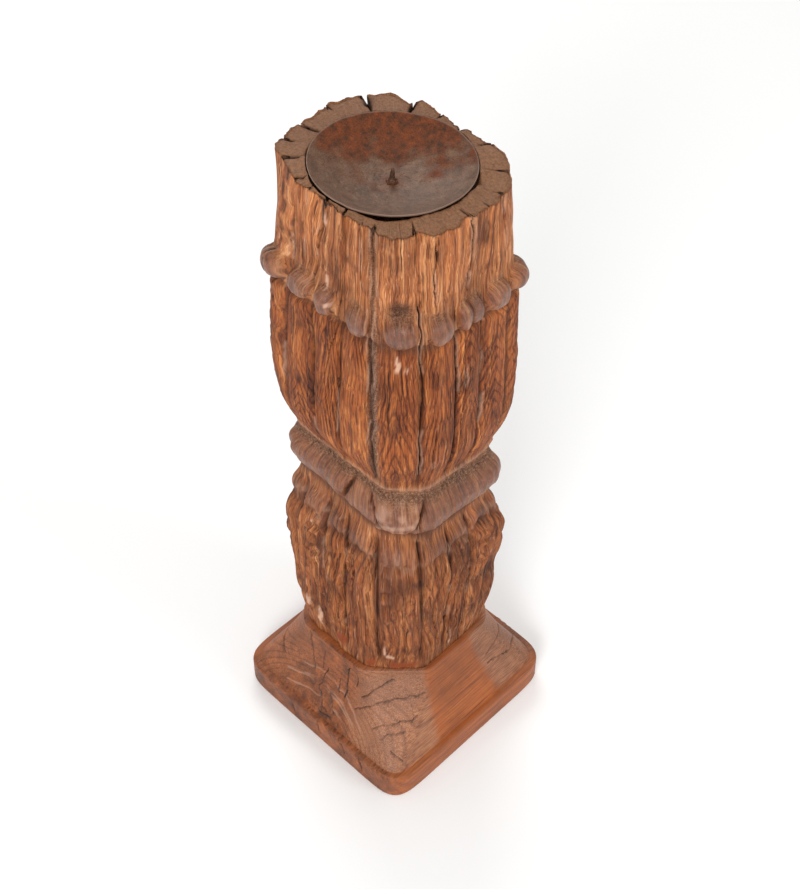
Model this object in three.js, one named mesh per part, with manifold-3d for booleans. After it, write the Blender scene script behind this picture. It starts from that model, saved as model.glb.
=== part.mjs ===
// Wooden candlestick: a weathered carved post on a coved plinth, with a loose iron candle dish.
//
// Units are millimetres and +Z is up. The origin is the centre of the plinth's underside, and the
// plinth's sides face +X, -X, +Y and -Y. The plinth's "front" corner is the one at (+X, -Y).
// Every solid of revolution or loft starts as a LatheGeometry profile that begins and ends on the axis.

import * as THREE from 'three';
import { mergeVertices } from 'three/addons/utils/BufferGeometryUtils.js';
import Module from 'manifold-3d';

// ---------------------------------------------------------------- driving dimensions

const FIT_GAP = 0.3; // air or glue line between pieces that touch

// plinth
const PLINTH_SIDE = 206;
const PLINTH_HEIGHT = 97;
const SLAB_HEIGHT = 28; // square-edged band at the bottom
const SLAB_CORNER_RADIUS = 19;
const SLAB_SHOULDER = 6; // step from the slab's edge in to the foot of the cove
const NECK_MARGIN = 5; // ledge left round the post's foot
const NECK_BAND = 5; // height of the upright band at the top of the neck
const COVE_HOLLOW = 0.5; // 0 is a flat slope from slab to neck, 1 a full quarter round

// post
const POST_HEIGHT = 505; // from the plinth's top to the middle of the sawn top
const POST_HALF_DEPTH = 64; // middle to the -Y and +Y faces at the upper capital
const POST_HALF_WIDTH = 75; // middle to the -X and +X faces at the upper capital
const FOOT_HALF = 63.5; // the foot is square
const SIDE_CORNER = 94.7; // middle to the left and right corners at the upper capital
const FOOT_CORNER = 82;
const FRONT_CHAMFER = 13; // how much nearer the front corner is than the side corners
const BELLY_HEIGHT = 125; // widest part of the lower capital, above the plinth
const COLLAR_HEIGHT = 217; // middle of the collar roll, above the plinth
const COLLAR_RADIUS = 21; // half the collar's height
const COLLAR_REACH = 9.5; // how far the collar stands out of the waist
const WAIST_CORNER = 78; // middle to the corners, above and below the collar
const WAIST_HALF = 58; // middle to the faces there
const CAPITAL_FOOT = 247; // foot of the upper capital, above the plinth
const CAPITAL_RISE = 53; // height of its curved underside
const BEADS_BELOW_TOP = 86; // from the row of beads up to the sawn top
const BEAD_LEDGE = 15; // the ledge that the beads stand on, below their middles
const FACE_BEADS = 3; // between two corner beads
const FACE_BEAD_PITCH = 28;
const FACE_BEAD_RADIUS = 8;
const CORNER_BEAD_RADIUS = 13;
const SHAFT_CORNER = 84; // middle to the corners of the plain shaft above the beads

// sawn top, slightly out of square: it falls towards the (+X, +Y) corner
const TOP_SLOPE_DEG = 2.3;
const SAW_ALLOWANCE = 10; // wood above the middle of the sawn top before it is sawn
const SPLIT_WIDTH = 3;
const SPLIT_DEPTH = 14;
const SPLITS = [ // drying splits: [compass angle in degrees, length down from the top]
  [-124, 75],
  [-97, 260],
  [-36, 120],
  [-4, 90],
  [34, 60],
  [88, 200],
  [150, 110],
  [-170, 150],
];

// dish
const DISH_DIAMETER = 117;
const DISH_SPHERE_RADIUS = 107; // inner face
const DISH_SHEET = 1.5;
const DISH_PROUD = 3; // rim above the middle of the sawn top
const RECESS_CLEARANCE = 2; // round the rim, where it is tightest

// pricket
const SPIKE_HEIGHT = 12.5; // above the inside of the dish
const SPIKE_DIAMETER = 4.2;
const SPIKE_TIP_DIAMETER = 0.8;
const BURR_DIAMETER = 10;
const BURR_HEIGHT = 1.4;
const TANG_DIAMETER = 5;
const TANG_LENGTH = 24; // below the dish
const TANG_CLEARANCE = 1; // all round, so that the dish lifts out

// coach screws through the plinth
const SCREW_SPACING = 70;
const SCREW_DIAMETER = 8;
const SCREW_LENGTH = 130; // under the head
const SCREW_POINT = 8;
const HEAD_ACROSS_FLATS = 13;
const HEAD_HEIGHT = 5.3;
const WASHER_DIAMETER = 24;
const WASHER_THICKNESS = 2;
const COUNTERBORE_DEPTH = 10;
const COUNTERBORE_CLEARANCE = 1.5; // round the washer

// how finely round things are faceted
const POST_SEGMENTS = 56;
const PLINTH_SEGMENTS = 56;
const DISH_SEGMENTS = 40;
const DISH_RINGS = 9; // from the pricket's hole to the rim
const COVE_RINGS = 8;
const COLLAR_RINGS = 8;
const RISE_RINGS = 6; // up the underside of the upper capital
const PIN_SEGMENTS = 16;
const WASHER_SEGMENTS = 20;
const BEAD_SEGMENTS = 10;

// ---------------------------------------------------------------- finishes

const carvedWood = () => new THREE.MeshStandardMaterial({ color: 0x915a3f, roughness: 0.72, metalness: 0 });
const plinthWood = () => new THREE.MeshStandardMaterial({ color: 0x9b623f, roughness: 0.6, metalness: 0 });
const rustyIron = () => new THREE.MeshStandardMaterial({ color: 0x6f4f3b, roughness: 0.6, metalness: 0.6 });
const zincSteel = () => new THREE.MeshStandardMaterial({ color: 0x9a9c9e, roughness: 0.4, metalness: 1 });

// ---------------------------------------------------------------- joins and cuts

const wasm = await Module();
wasm.setup();

// The closed solid inside a geometry, with the shared corners of its triangles merged.
function solid(geometry) {
  const bare = geometry.clone();
  bare.deleteAttribute('normal');
  bare.deleteAttribute('uv');
  const merged = mergeVertices(bare, 1e-4);
  return new wasm.Manifold(new wasm.Mesh({
    numProp: 3,
    vertProperties: new Float32Array(merged.attributes.position.array),
    triVerts: new Uint32Array(merged.index.array),
  }));
}

// The geometry of a solid's surface.
function surface(body) {
  const mesh = body.getMesh();
  const geometry = new THREE.BufferGeometry();
  geometry.setAttribute('position', new THREE.BufferAttribute(mesh.vertProperties, 3));
  geometry.setIndex(new THREE.BufferAttribute(mesh.triVerts, 1));
  geometry.computeVertexNormals();
  return geometry;
}

function namedMesh(name, geometry, material) {
  const mesh = new THREE.Mesh(geometry, material);
  mesh.name = name;
  return mesh;
}

// ---------------------------------------------------------------- shapes

const RIGHT_ANGLE = Math.PI / 2;
const HALF_RIGHT_ANGLE = Math.PI / 4;

// A profile of [radius, height] points turned about +Z.
function turned(points, segments) {
  const profile = points.map(([radius, height]) => new THREE.Vector2(radius, height));
  return new THREE.LatheGeometry(profile, segments).rotateX(RIGHT_ANGLE);
}

function cylinder(diameter, bottom, top, segments) {
  const radius = diameter / 2;
  return turned([[0, bottom], [radius, bottom], [radius, top], [0, top]], segments);
}

// How far an eight-sided outline reaches at an angle. Each side is [angle it faces, distance from
// the middle]. A high power mean of the sides rounds their corners a little.
const OUTLINE_POWER = 26;
function reach(angle, sides) {
  let sum = 0;
  for (const [faces, distance] of sides) {
    const share = Math.cos(angle - faces) / distance;
    if (share > 0) sum += share ** OUTLINE_POWER;
  }
  return sum ** (-1 / OUTLINE_POWER);
}

// The eight sides of a section: half sizes along X and Y, the two side corners and the back
// corner at one distance, and the front corner at another.
function section(halfX, halfY, corner, front) {
  return [
    [0, halfX],
    [RIGHT_ANGLE, halfY],
    [2 * RIGHT_ANGLE, halfX],
    [-RIGHT_ANGLE, halfY],
    [-HALF_RIGHT_ANGLE, front],
    [HALF_RIGHT_ANGLE, corner],
    [3 * HALF_RIGHT_ANGLE, corner],
    [-3 * HALF_RIGHT_ANGLE, corner],
  ];
}

// A solid whose horizontal sections change with height: a straight turned drum whose rings are
// each pushed out to their own section. Each ring is { z, sides }, from the bottom up.
function loft(rings, segments) {
  const bottom = rings[0].z;
  const top = rings[rings.length - 1].z;
  const profile = [[0, bottom], ...rings.map((ring) => [1, ring.z]), [0, top]];
  const geometry = turned(profile, segments);
  const position = geometry.attributes.position;
  for (let vertex = 0; vertex < position.count; vertex += 1) {
    const ring = rings[(vertex % profile.length) - 1];
    if (ring) {
      const turn = Math.floor(vertex / profile.length) % segments;
      const angle = (turn / segments) * 2 * Math.PI;
      const radius = reach(angle, ring.sides);
      position.setXYZ(vertex, radius * Math.cos(angle), radius * Math.sin(angle), ring.z);
    }
  }
  return geometry;
}

const mix = THREE.MathUtils.lerp;

// ---------------------------------------------------------------- plinth

const plinthHalf = PLINTH_SIDE / 2;
const slabCorner = plinthHalf * Math.SQRT2 - SLAB_CORNER_RADIUS * (Math.SQRT2 - 1);
const neckHalf = FOOT_HALF + NECK_MARGIN;
const neckCorner = FOOT_CORNER + NECK_MARGIN / 2;
const footFront = FOOT_CORNER - FRONT_CHAMFER - NECK_MARGIN;
const neckFront = footFront + NECK_MARGIN / 2;

// Slab, shoulder, cove and neck band. The cove lies between a flat slope and a quarter round, so
// it leaves the slab at a slant and steepens up to the neck.
function plinthRings() {
  const rings = [
    { z: 0, sides: section(plinthHalf, plinthHalf, slabCorner, slabCorner) },
    { z: SLAB_HEIGHT - SLAB_SHOULDER / 2, sides: section(plinthHalf, plinthHalf, slabCorner, slabCorner) },
  ];
  const coveFoot = plinthHalf - SLAB_SHOULDER;
  const coveFootCorner = slabCorner - SLAB_SHOULDER;
  const coveTop = PLINTH_HEIGHT - NECK_BAND;
  for (let step = 0; step <= COVE_RINGS; step += 1) {
    const along = step / COVE_RINGS;
    const curve = mix(along, Math.sin(along * RIGHT_ANGLE), COVE_HOLLOW);
    const half = mix(coveFoot, neckHalf, curve);
    const corner = mix(coveFootCorner, neckCorner, curve);
    const front = mix(coveFootCorner, neckFront, curve);
    rings.push({ z: mix(SLAB_HEIGHT, coveTop, along), sides: section(half, half, corner, front) });
  }
  rings.push({ z: PLINTH_HEIGHT, sides: section(neckHalf, neckHalf, neckCorner, neckFront) });
  return rings;
}

const screwPlaces = [];
for (const alongX of [-1, 1]) {
  for (const alongY of [-1, 1]) {
    screwPlaces.push([(alongX * SCREW_SPACING) / 2, (alongY * SCREW_SPACING) / 2]);
  }
}

const shankHole = SCREW_DIAMETER + 2 * FIT_GAP;
const counterbore = WASHER_DIAMETER + 2 * COUNTERBORE_CLEARANCE;
const screwTip = COUNTERBORE_DEPTH - WASHER_THICKNESS - FIT_GAP + SCREW_LENGTH;

function makePlinth() {
  let body = solid(loft(plinthRings(), PLINTH_SEGMENTS));
  for (const [x, y] of screwPlaces) {
    const bore = cylinder(counterbore, -1, COUNTERBORE_DEPTH, WASHER_SEGMENTS).translate(x, y, 0);
    const hole = cylinder(shankHole, -1, PLINTH_HEIGHT + 1, PIN_SEGMENTS).translate(x, y, 0);
    body = body.subtract(solid(bore)).subtract(solid(hole));
  }
  return surface(body);
}

// ---------------------------------------------------------------- post

const postFoot = PLINTH_HEIGHT + FIT_GAP;
const topMiddle = PLINTH_HEIGHT + POST_HEIGHT;
const beadHeight = POST_HEIGHT - BEADS_BELOW_TOP;
const ledgeHeight = beadHeight - BEAD_LEDGE;
const widthOverMean = (POST_HALF_WIDTH - POST_HALF_DEPTH) / 2;
const capitalFace = (POST_HALF_WIDTH + POST_HALF_DEPTH) / 2;

// The post's outline up one side: [height above the plinth, mean distance to the faces, distance
// to the side corners].
function postProfile() {
  const profile = [
    [FIT_GAP, FOOT_HALF, FOOT_CORNER],
    [BELLY_HEIGHT * 0.3, FOOT_HALF, FOOT_CORNER + 2.5],
    [BELLY_HEIGHT * 0.65, FOOT_HALF + 2.5, FOOT_CORNER + 8],
    [BELLY_HEIGHT, FOOT_HALF + 4.5, FOOT_CORNER + 10.8],
    [BELLY_HEIGHT + 16, FOOT_HALF + 4, FOOT_CORNER + 10],
    [mix(BELLY_HEIGHT, COLLAR_HEIGHT - COLLAR_RADIUS, 0.5), FOOT_HALF, FOOT_CORNER + 4],
    [mix(BELLY_HEIGHT, COLLAR_HEIGHT - COLLAR_RADIUS, 0.75), WAIST_HALF + 2, FOOT_CORNER],
    [COLLAR_HEIGHT - COLLAR_RADIUS - 2, WAIST_HALF, WAIST_CORNER],
  ];
  for (let step = 0; step <= COLLAR_RINGS; step += 1) {
    const turn = -RIGHT_ANGLE + (step / COLLAR_RINGS) * 2 * RIGHT_ANGLE;
    const out = COLLAR_REACH * Math.cos(turn);
    const height = COLLAR_HEIGHT + COLLAR_RADIUS * Math.sin(turn);
    profile.push([height, WAIST_HALF + out, WAIST_CORNER + out]);
  }
  for (let step = 0; step <= RISE_RINGS; step += 1) {
    const along = step / RISE_RINGS;
    const out = Math.sin(along * RIGHT_ANGLE);
    const height = CAPITAL_FOOT + CAPITAL_RISE * (1 - Math.cos(along * RIGHT_ANGLE) * (1 - along * 0.3));
    profile.push([height, mix(WAIST_HALF, capitalFace, out), mix(WAIST_CORNER, SIDE_CORNER, out)]);
  }
  profile.push([mix(CAPITAL_FOOT + CAPITAL_RISE, ledgeHeight, 0.5), capitalFace, SIDE_CORNER]);
  profile.push([mix(CAPITAL_FOOT + CAPITAL_RISE, ledgeHeight, 0.8), capitalFace, SIDE_CORNER - 3]);
  profile.push([ledgeHeight, capitalFace, SIDE_CORNER - 2]);
  profile.push([ledgeHeight + 4, capitalFace - 3, SHAFT_CORNER + 2]);
  profile.push([beadHeight + CORNER_BEAD_RADIUS, capitalFace - 3, SHAFT_CORNER + 2]);
  profile.push([beadHeight + 3 * CORNER_BEAD_RADIUS, capitalFace - 1, SHAFT_CORNER + 1]);
  profile.push([POST_HEIGHT + SAW_ALLOWANCE, capitalFace - 1, SHAFT_CORNER - 2]);
  return profile;
}

// The same outline as rings. The section widens along X from a square foot to the belly, where it
// keeps its width, and the foot's front corner is cut back by the plinth's margin as well.
function postRings() {
  return postProfile().map(([height, face, corner]) => {
    const grown = Math.min(1, height / BELLY_HEIGHT);
    const wider = widthOverMean * grown;
    const front = corner - FRONT_CHAMFER - NECK_MARGIN * (1 - grown);
    return { z: PLINTH_HEIGHT + height, sides: section(face + wider, face - wider, corner, front) };
  });
}

// One bead of the row: a ball let into the shaft.
function bead(radius, x, y) {
  const ball = new THREE.SphereGeometry(radius, BEAD_SEGMENTS, BEAD_SEGMENTS / 2 + 1);
  return solid(ball.rotateX(RIGHT_ANGLE).translate(x, y, PLINTH_HEIGHT + beadHeight));
}

function beadRow() {
  const beads = [];
  for (let side = 0; side < 4; side += 1) {
    const faces = side * RIGHT_ANGLE;
    const half = side % 2 === 0 ? POST_HALF_WIDTH : POST_HALF_DEPTH;
    for (let index = 0; index < FACE_BEADS; index += 1) {
      const along = (index - (FACE_BEADS - 1) / 2) * FACE_BEAD_PITCH;
      const out = half - 2;
      const x = out * Math.cos(faces) - along * Math.sin(faces);
      const y = out * Math.sin(faces) + along * Math.cos(faces);
      beads.push(bead(FACE_BEAD_RADIUS, x, y));
    }
    const cornerFaces = faces - HALF_RIGHT_ANGLE;
    const cornerOut = side === 0 ? SHAFT_CORNER - FRONT_CHAMFER + 6 : SHAFT_CORNER;
    beads.push(bead(CORNER_BEAD_RADIUS, cornerOut * Math.cos(cornerFaces), cornerOut * Math.sin(cornerFaces)));
  }
  return beads;
}

// Everything that sits in the sawn top is drawn about the middle of that top, with +Z square to
// it, and then tipped into place.
const topFrame = new THREE.Matrix4()
  .makeRotationAxis(new THREE.Vector3(-1, 1, 0).normalize(), THREE.MathUtils.degToRad(TOP_SLOPE_DEG))
  .setPosition(0, 0, topMiddle);

const rimRadius = DISH_DIAMETER / 2;
const dishDepth = DISH_SPHERE_RADIUS - Math.sqrt(DISH_SPHERE_RADIUS ** 2 - rimRadius ** 2);
const dishInside = DISH_PROUD - dishDepth; // lowest point of the dish's inner face
const dishUnderside = dishInside - DISH_SHEET;
const recessFloor = dishUnderside - FIT_GAP;
const recessDiameter = DISH_DIAMETER + 2 * RECESS_CLEARANCE;
const socketDiameter = TANG_DIAMETER + 2 * TANG_CLEARANCE;
const socketFloor = dishUnderside - TANG_LENGTH - TANG_CLEARANCE;

// A drying split: a thin wedge, widest at the bark side and closing towards the heart.
function split(degrees, length) {
  const reachOut = POST_HALF_WIDTH + POST_HALF_DEPTH;
  const angle = THREE.MathUtils.degToRad(degrees);
  const inner = reach(angle, section(POST_HALF_WIDTH, POST_HALF_DEPTH, SHAFT_CORNER, SHAFT_CORNER)) - SPLIT_DEPTH;
  const outerWidth = (SPLIT_WIDTH * (reachOut - inner)) / SPLIT_DEPTH;
  const outline = new THREE.Shape([
    new THREE.Vector2(inner, 0),
    new THREE.Vector2(reachOut, -outerWidth / 2),
    new THREE.Vector2(reachOut, outerWidth / 2),
  ]);
  const wedge = new THREE.ExtrudeGeometry(outline, { depth: length + SAW_ALLOWANCE, bevelEnabled: false });
  return solid(wedge.translate(0, 0, topMiddle - length).rotateZ(angle));
}

function makePost() {
  let body = solid(loft(postRings(), POST_SEGMENTS));
  for (const one of beadRow()) {
    body = body.add(one);
  }
  for (const [degrees, length] of SPLITS) {
    body = body.subtract(split(degrees, length));
  }
  const sawn = new THREE.BoxGeometry(4 * POST_HALF_WIDTH, 4 * POST_HALF_WIDTH, 4 * SAW_ALLOWANCE);
  const tools = [
    sawn.translate(0, 0, 2 * SAW_ALLOWANCE),
    cylinder(recessDiameter, recessFloor, SAW_ALLOWANCE, DISH_SEGMENTS),
    cylinder(socketDiameter, socketFloor, SAW_ALLOWANCE, PIN_SEGMENTS),
  ];
  for (const tool of tools) {
    body = body.subtract(solid(tool.applyMatrix4(topFrame)));
  }
  for (const [x, y] of screwPlaces) {
    const pilot = cylinder(shankHole, postFoot - 1, screwTip + FIT_GAP, PIN_SEGMENTS).translate(x, y, 0);
    body = body.subtract(solid(pilot));
  }
  return surface(body);
}

// ---------------------------------------------------------------- dish and pricket

// The dish: two spherical faces a sheet apart, joined by the rim and by the pricket's hole.
function makeDish() {
  const holeRadius = TANG_DIAMETER / 2 + FIT_GAP;
  const inner = [];
  const outer = [];
  for (let step = 0; step <= DISH_RINGS; step += 1) {
    const radius = mix(holeRadius, rimRadius, step / DISH_RINGS);
    const lift = DISH_SPHERE_RADIUS - Math.sqrt(DISH_SPHERE_RADIUS ** 2 - radius ** 2);
    inner.push([radius, dishInside + lift]);
    outer.push([radius, dishInside + lift - DISH_SHEET]);
  }
  const closed = [...outer, ...inner.reverse(), outer[0]];
  return turned(closed, DISH_SEGMENTS);
}

// The pricket: spike, weld burr inside the dish, and tang down through it into the socket.
function makePricket() {
  const spikeRadius = SPIKE_DIAMETER / 2;
  const tangRadius = TANG_DIAMETER / 2;
  const burrFoot = dishInside + FIT_GAP;
  const tangEnd = dishUnderside - TANG_LENGTH;
  return turned([
    [0, tangEnd],
    [tangRadius * 0.5, tangEnd],
    [tangRadius, tangEnd + tangRadius],
    [tangRadius, burrFoot],
    [BURR_DIAMETER / 2, burrFoot],
    [BURR_DIAMETER / 2 - BURR_HEIGHT * 0.5, burrFoot + BURR_HEIGHT * 0.7],
    [spikeRadius + BURR_HEIGHT * 0.5, burrFoot + BURR_HEIGHT],
    [spikeRadius, burrFoot + 2 * BURR_HEIGHT],
    [mix(SPIKE_TIP_DIAMETER, SPIKE_DIAMETER, 0.7) / 2, dishInside + SPIKE_HEIGHT * 0.75],
    [SPIKE_TIP_DIAMETER / 2, dishInside + SPIKE_HEIGHT],
    [0, dishInside + SPIKE_HEIGHT],
  ], PIN_SEGMENTS);
}

// ---------------------------------------------------------------- fixings

const washerTop = COUNTERBORE_DEPTH - FIT_GAP;
const headTop = washerTop - WASHER_THICKNESS - FIT_GAP;

// A coach screw standing point up: a head turned with six sides, joined to its shank and point.
function makeScrew() {
  const headRadius = HEAD_ACROSS_FLATS / Math.sqrt(3);
  const head = turned([
    [0, headTop - HEAD_HEIGHT],
    [headRadius, headTop - HEAD_HEIGHT],
    [headRadius, headTop],
    [0, headTop],
  ], 6);
  const shankRadius = SCREW_DIAMETER / 2;
  const shank = turned([
    [0, headTop - HEAD_HEIGHT / 2],
    [shankRadius, headTop - HEAD_HEIGHT / 2],
    [shankRadius, headTop + SCREW_LENGTH - SCREW_POINT],
    [0, headTop + SCREW_LENGTH],
  ], PIN_SEGMENTS);
  return surface(solid(head).add(solid(shank)));
}

function makeWasher() {
  const outer = WASHER_DIAMETER / 2;
  const inner = shankHole / 2;
  const bottom = washerTop - WASHER_THICKNESS;
  return turned([
    [inner, bottom],
    [outer, bottom],
    [outer, washerTop],
    [inner, washerTop],
    [inner, bottom],
  ], WASHER_SEGMENTS);
}

// ---------------------------------------------------------------- assembly

const candlestick = new THREE.Group();
candlestick.add(namedMesh('plinth', makePlinth(), plinthWood()));
candlestick.add(namedMesh('pillar', makePost(), carvedWood()));

const topGroup = new THREE.Group();
topFrame.decompose(topGroup.position, topGroup.quaternion, topGroup.scale);
topGroup.add(namedMesh('candle_dish', makeDish(), rustyIron()));
topGroup.add(namedMesh('pricket', makePricket(), rustyIron()));
candlestick.add(topGroup);

screwPlaces.forEach(([x, y], index) => {
  const screw = namedMesh(`base_screw_${index + 1}`, makeScrew(), zincSteel());
  const washer = namedMesh(`base_washer_${index + 1}`, makeWasher(), zincSteel());
  screw.position.set(x, y, 0);
  washer.position.set(x, y, 0);
  candlestick.add(screw, washer);
});

export default candlestick;
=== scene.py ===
"""Wooden candlestick: a carved post on a coved plinth, with a loose iron candle dish and its spike."""
import math

import bmesh
import bpy
import numpy as np
from mathutils import Matrix, Vector


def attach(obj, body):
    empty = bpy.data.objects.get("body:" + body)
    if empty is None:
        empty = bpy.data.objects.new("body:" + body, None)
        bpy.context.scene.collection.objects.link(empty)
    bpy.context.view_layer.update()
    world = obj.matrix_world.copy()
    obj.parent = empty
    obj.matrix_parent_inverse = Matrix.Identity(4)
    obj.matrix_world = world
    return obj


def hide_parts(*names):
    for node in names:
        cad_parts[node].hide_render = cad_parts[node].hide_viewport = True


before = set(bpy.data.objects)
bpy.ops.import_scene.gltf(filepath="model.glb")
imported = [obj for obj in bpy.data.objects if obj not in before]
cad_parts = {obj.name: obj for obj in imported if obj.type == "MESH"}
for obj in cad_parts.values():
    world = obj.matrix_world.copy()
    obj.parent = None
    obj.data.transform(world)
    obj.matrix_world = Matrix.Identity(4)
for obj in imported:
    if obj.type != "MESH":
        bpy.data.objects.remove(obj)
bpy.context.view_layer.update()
scene = bpy.context.scene
MM = 0.001

# ---------------------------------------------------------------------------
# Camera, floor and light. The stick stands on a pale table under soft studio
# lamps. The camera looks down on its front corner from well above the dish.
# ---------------------------------------------------------------------------
DIAGONAL = math.sqrt(0.5)
CAMERA_BACK = 0.8301
CAMERA_HEIGHT = 1.2167
CAMERA_PITCH = math.radians(47.1)
CAMERA_YAW = math.radians(0.34)
CAMERA_LENS = 60.74


def from_diagonal(right, away, up):
    """World direction or place of one given along the plinth's two diagonals: x = (right - away)/sqrt 2,
    y = (right + away)/sqrt 2."""
    return Vector(((right - away) * DIAGONAL, (right + away) * DIAGONAL, up))


camera_data = bpy.data.cameras.new("camera")
camera_data.lens = CAMERA_LENS
camera_data.sensor_width = 36.0
camera = bpy.data.objects.new("camera", camera_data)
scene.collection.objects.link(camera)
camera.location = from_diagonal(0.0, -CAMERA_BACK, CAMERA_HEIGHT)
looking = from_diagonal(
    math.sin(CAMERA_YAW) * math.cos(CAMERA_PITCH),
    math.cos(CAMERA_YAW) * math.cos(CAMERA_PITCH),
    -math.sin(CAMERA_PITCH),
)
camera.rotation_euler = looking.to_track_quat("-Z", "Y").to_euler()
scene.camera = camera
scene.view_settings.view_transform = "Standard"
scene.view_settings.look = "None"

world = bpy.data.worlds.new("studio")
world.use_nodes = True
world.node_tree.nodes["Background"].inputs["Color"].default_value = (1.0, 1.0, 1.0, 1.0)
world.node_tree.nodes["Background"].inputs["Strength"].default_value = 0.6
scene.world = world


def soft_lamp(name, place, size, power):
    """A square lamp of this size in metres at this place, turned to the middle of the stick."""
    lamp = bpy.data.lights.new(name, "AREA")
    lamp.size = size
    lamp.energy = power
    holder = bpy.data.objects.new(name, lamp)
    holder.location = place
    holder.rotation_euler = (Vector((0.0, 0.0, 0.3)) - Vector(place)).to_track_quat("-Z", "Y").to_euler()
    scene.collection.objects.link(holder)


soft_lamp("lamp_front", from_diagonal(-0.55, -2.0, 1.45), 0.8, 34.0)
soft_lamp("lamp_right", from_diagonal(1.9, -1.0, 1.3), 0.8, 12.0)
soft_lamp("lamp_back", from_diagonal(-0.3, 1.9, 1.9), 1.2, 22.0)


def linear(code):
    """Linear colour of an sRGB hex code: c/12.92 up to 0.04045, else ((c + 0.055)/1.055)^2.4."""
    parts = [int(code[k:k + 2], 16) / 255.0 for k in (1, 3, 5)]
    parts = [c / 12.92 if c <= 0.04045 else ((c + 0.055) / 1.055) ** 2.4 for c in parts]
    return (*parts, 1.0)


def node(tree, kind, inputs=None, stops=None, **settings):
    """Adds one shader node: its own settings, its inputs as values, colours or links, and a ramp's stops."""
    made = tree.nodes.new("ShaderNode" + kind)
    for name, value in settings.items():
        setattr(made, name, value)
    for name, value in (inputs or {}).items():
        if isinstance(value, bpy.types.Node):
            value = value.outputs[0]
        if isinstance(value, bpy.types.NodeSocket):
            tree.links.new(value, made.inputs[name])
        elif isinstance(value, str):
            made.inputs[name].default_value = linear(value)
        else:
            made.inputs[name].default_value = value
    if stops:
        ramp = made.color_ramp.elements
        while len(ramp) < len(stops):
            ramp.new(1.0)
        for stop, (place, colour) in zip(ramp, stops):
            stop.position = place
            stop.color = linear(colour)
    return made


def new_material(name):
    """An empty material of this name, with its node tree and its Principled shader."""
    material = bpy.data.materials.new(name)
    material.use_nodes = True
    return material, material.node_tree, material.node_tree.nodes["Principled BSDF"]


floor_material, _, floor_shader = new_material("table_paint")
floor_shader.inputs["Base Color"].default_value = linear("#f8f8f7")
floor_shader.inputs["Roughness"].default_value = 0.9
floor_mesh = bpy.data.meshes.new("table_top")
FLOOR_REACH = 8.0
FLOOR_DROP = -0.0002
floor_mesh.from_pydata(
    [(x * FLOOR_REACH, y * FLOOR_REACH, FLOOR_DROP) for x, y in ((-1, -1), (1, -1), (1, 1), (-1, 1))],
    [],
    [(0, 1, 2, 3)],
)
floor = bpy.data.objects.new("table_top", floor_mesh)
floor_mesh.materials.append(floor_material)
scene.collection.objects.link(floor)

# ---------------------------------------------------------------------------
# Plinth. One thick block of a newer orange-brown hardwood: a square slab with
# four hollow coves up to an eight-sided neck. The grain runs along Y, so the
# two Y sides are end grain, with arched rings round a heart just below the slab.
# ---------------------------------------------------------------------------
PLINTH_TOP = 97.0
SLAB_TOP = 28.0
COVE_TOP = 92.0
SLAB_HALF = 103.0
SLAB_CORNER = 137.8
COVE_HALF = 97.0
COVE_CORNER = 131.8
NECK_HALF = 68.5
NECK_CORNER = 84.5
NECK_FRONT = 66.5
HEART_X = -10.0
HEART_Z = -20.0
RING_SPACING = 5.0
POCKET_RADIUS = 13.5
POCKET_DEPTH = 10.0
SHANK_HOLE_RADIUS = 4.3
SHANK_HOLE_DEPTH = 26.0
FIXING_OFFSET = 35.0
CORNER_SHARPNESS = 26.0


def reach(angle, faces):
    """Distance from the middle to a many-sided outline with softened corners:
    (sum over the sides of max(0, cos(angle - facing)/distance)^p)^(-1/p), with p = 26."""
    total = 0.0
    for facing, distance in faces:
        total = total + (np.maximum(np.cos(angle - facing), 0.0) / distance) ** CORNER_SHARPNESS
    return total ** (-1.0 / CORNER_SHARPNESS)


def eight_sides(angle, half_x, half_y, left, right, front, back):
    """Outline with four flat sides and a cut at each corner; left is the -X-Y corner and front is +X-Y."""
    quarter = math.pi / 2
    return reach(angle, [
        (0.0, half_x), (quarter, half_y), (2 * quarter, half_x), (-quarter, half_y),
        (-quarter / 2, front), (quarter / 2, right), (3 * quarter / 2, back), (-3 * quarter / 2, left),
    ])


def noise(x, y, z, seed):
    """Smooth noise from -1 to 1: a random number on each corner of a unit grid of cells, blended inside
    the cell along each axis by 3t^2 - 2t^3."""
    whole = [np.floor(a).astype(np.int64) for a in np.broadcast_arrays(x, y, z)]
    ease = [a - w for a, w in zip(np.broadcast_arrays(x, y, z), whole)]
    ease = [t * t * (3.0 - 2.0 * t) for t in ease]
    total = 0.0
    for corner in range(8):
        step = [corner & 1, (corner >> 1) & 1, (corner >> 2) & 1]
        key = (whole[0] + step[0]) * 73856093 ^ (whole[1] + step[1]) * 19349663
        key = (key ^ (whole[2] + step[2]) * 83492791 ^ seed * 15485863) & 0xFFFFFFFF
        key = ((key ^ (key >> 15)) * 739982445) & 0xFFFFFFFF
        key = ((key ^ (key >> 12)) * 695872825) & 0xFFFFFFFF
        key = key ^ (key >> 15)
        weight = 1.0
        for t, s in zip(ease, step):
            weight = weight * (t if s else 1.0 - t)
        total = total + weight * (key & 0xFFFF) / 32767.5
    return total - 1.0


def spread(stops, count):
    """Places numbers from the first stop to the last, as far apart as the stops' spacings ask: the running
    total of 1/spacing, cut into equal parts."""
    at = np.linspace(stops[0][0], stops[-1][0], 6000)
    wanted = 1.0 / np.interp(at, *np.array(stops, float).T)
    total = np.concatenate([[0.0], np.cumsum(0.5 * (wanted[1:] + wanted[:-1]) * np.diff(at))])
    return np.interp(np.linspace(0.0, total[-1], count), total, at)


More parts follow.
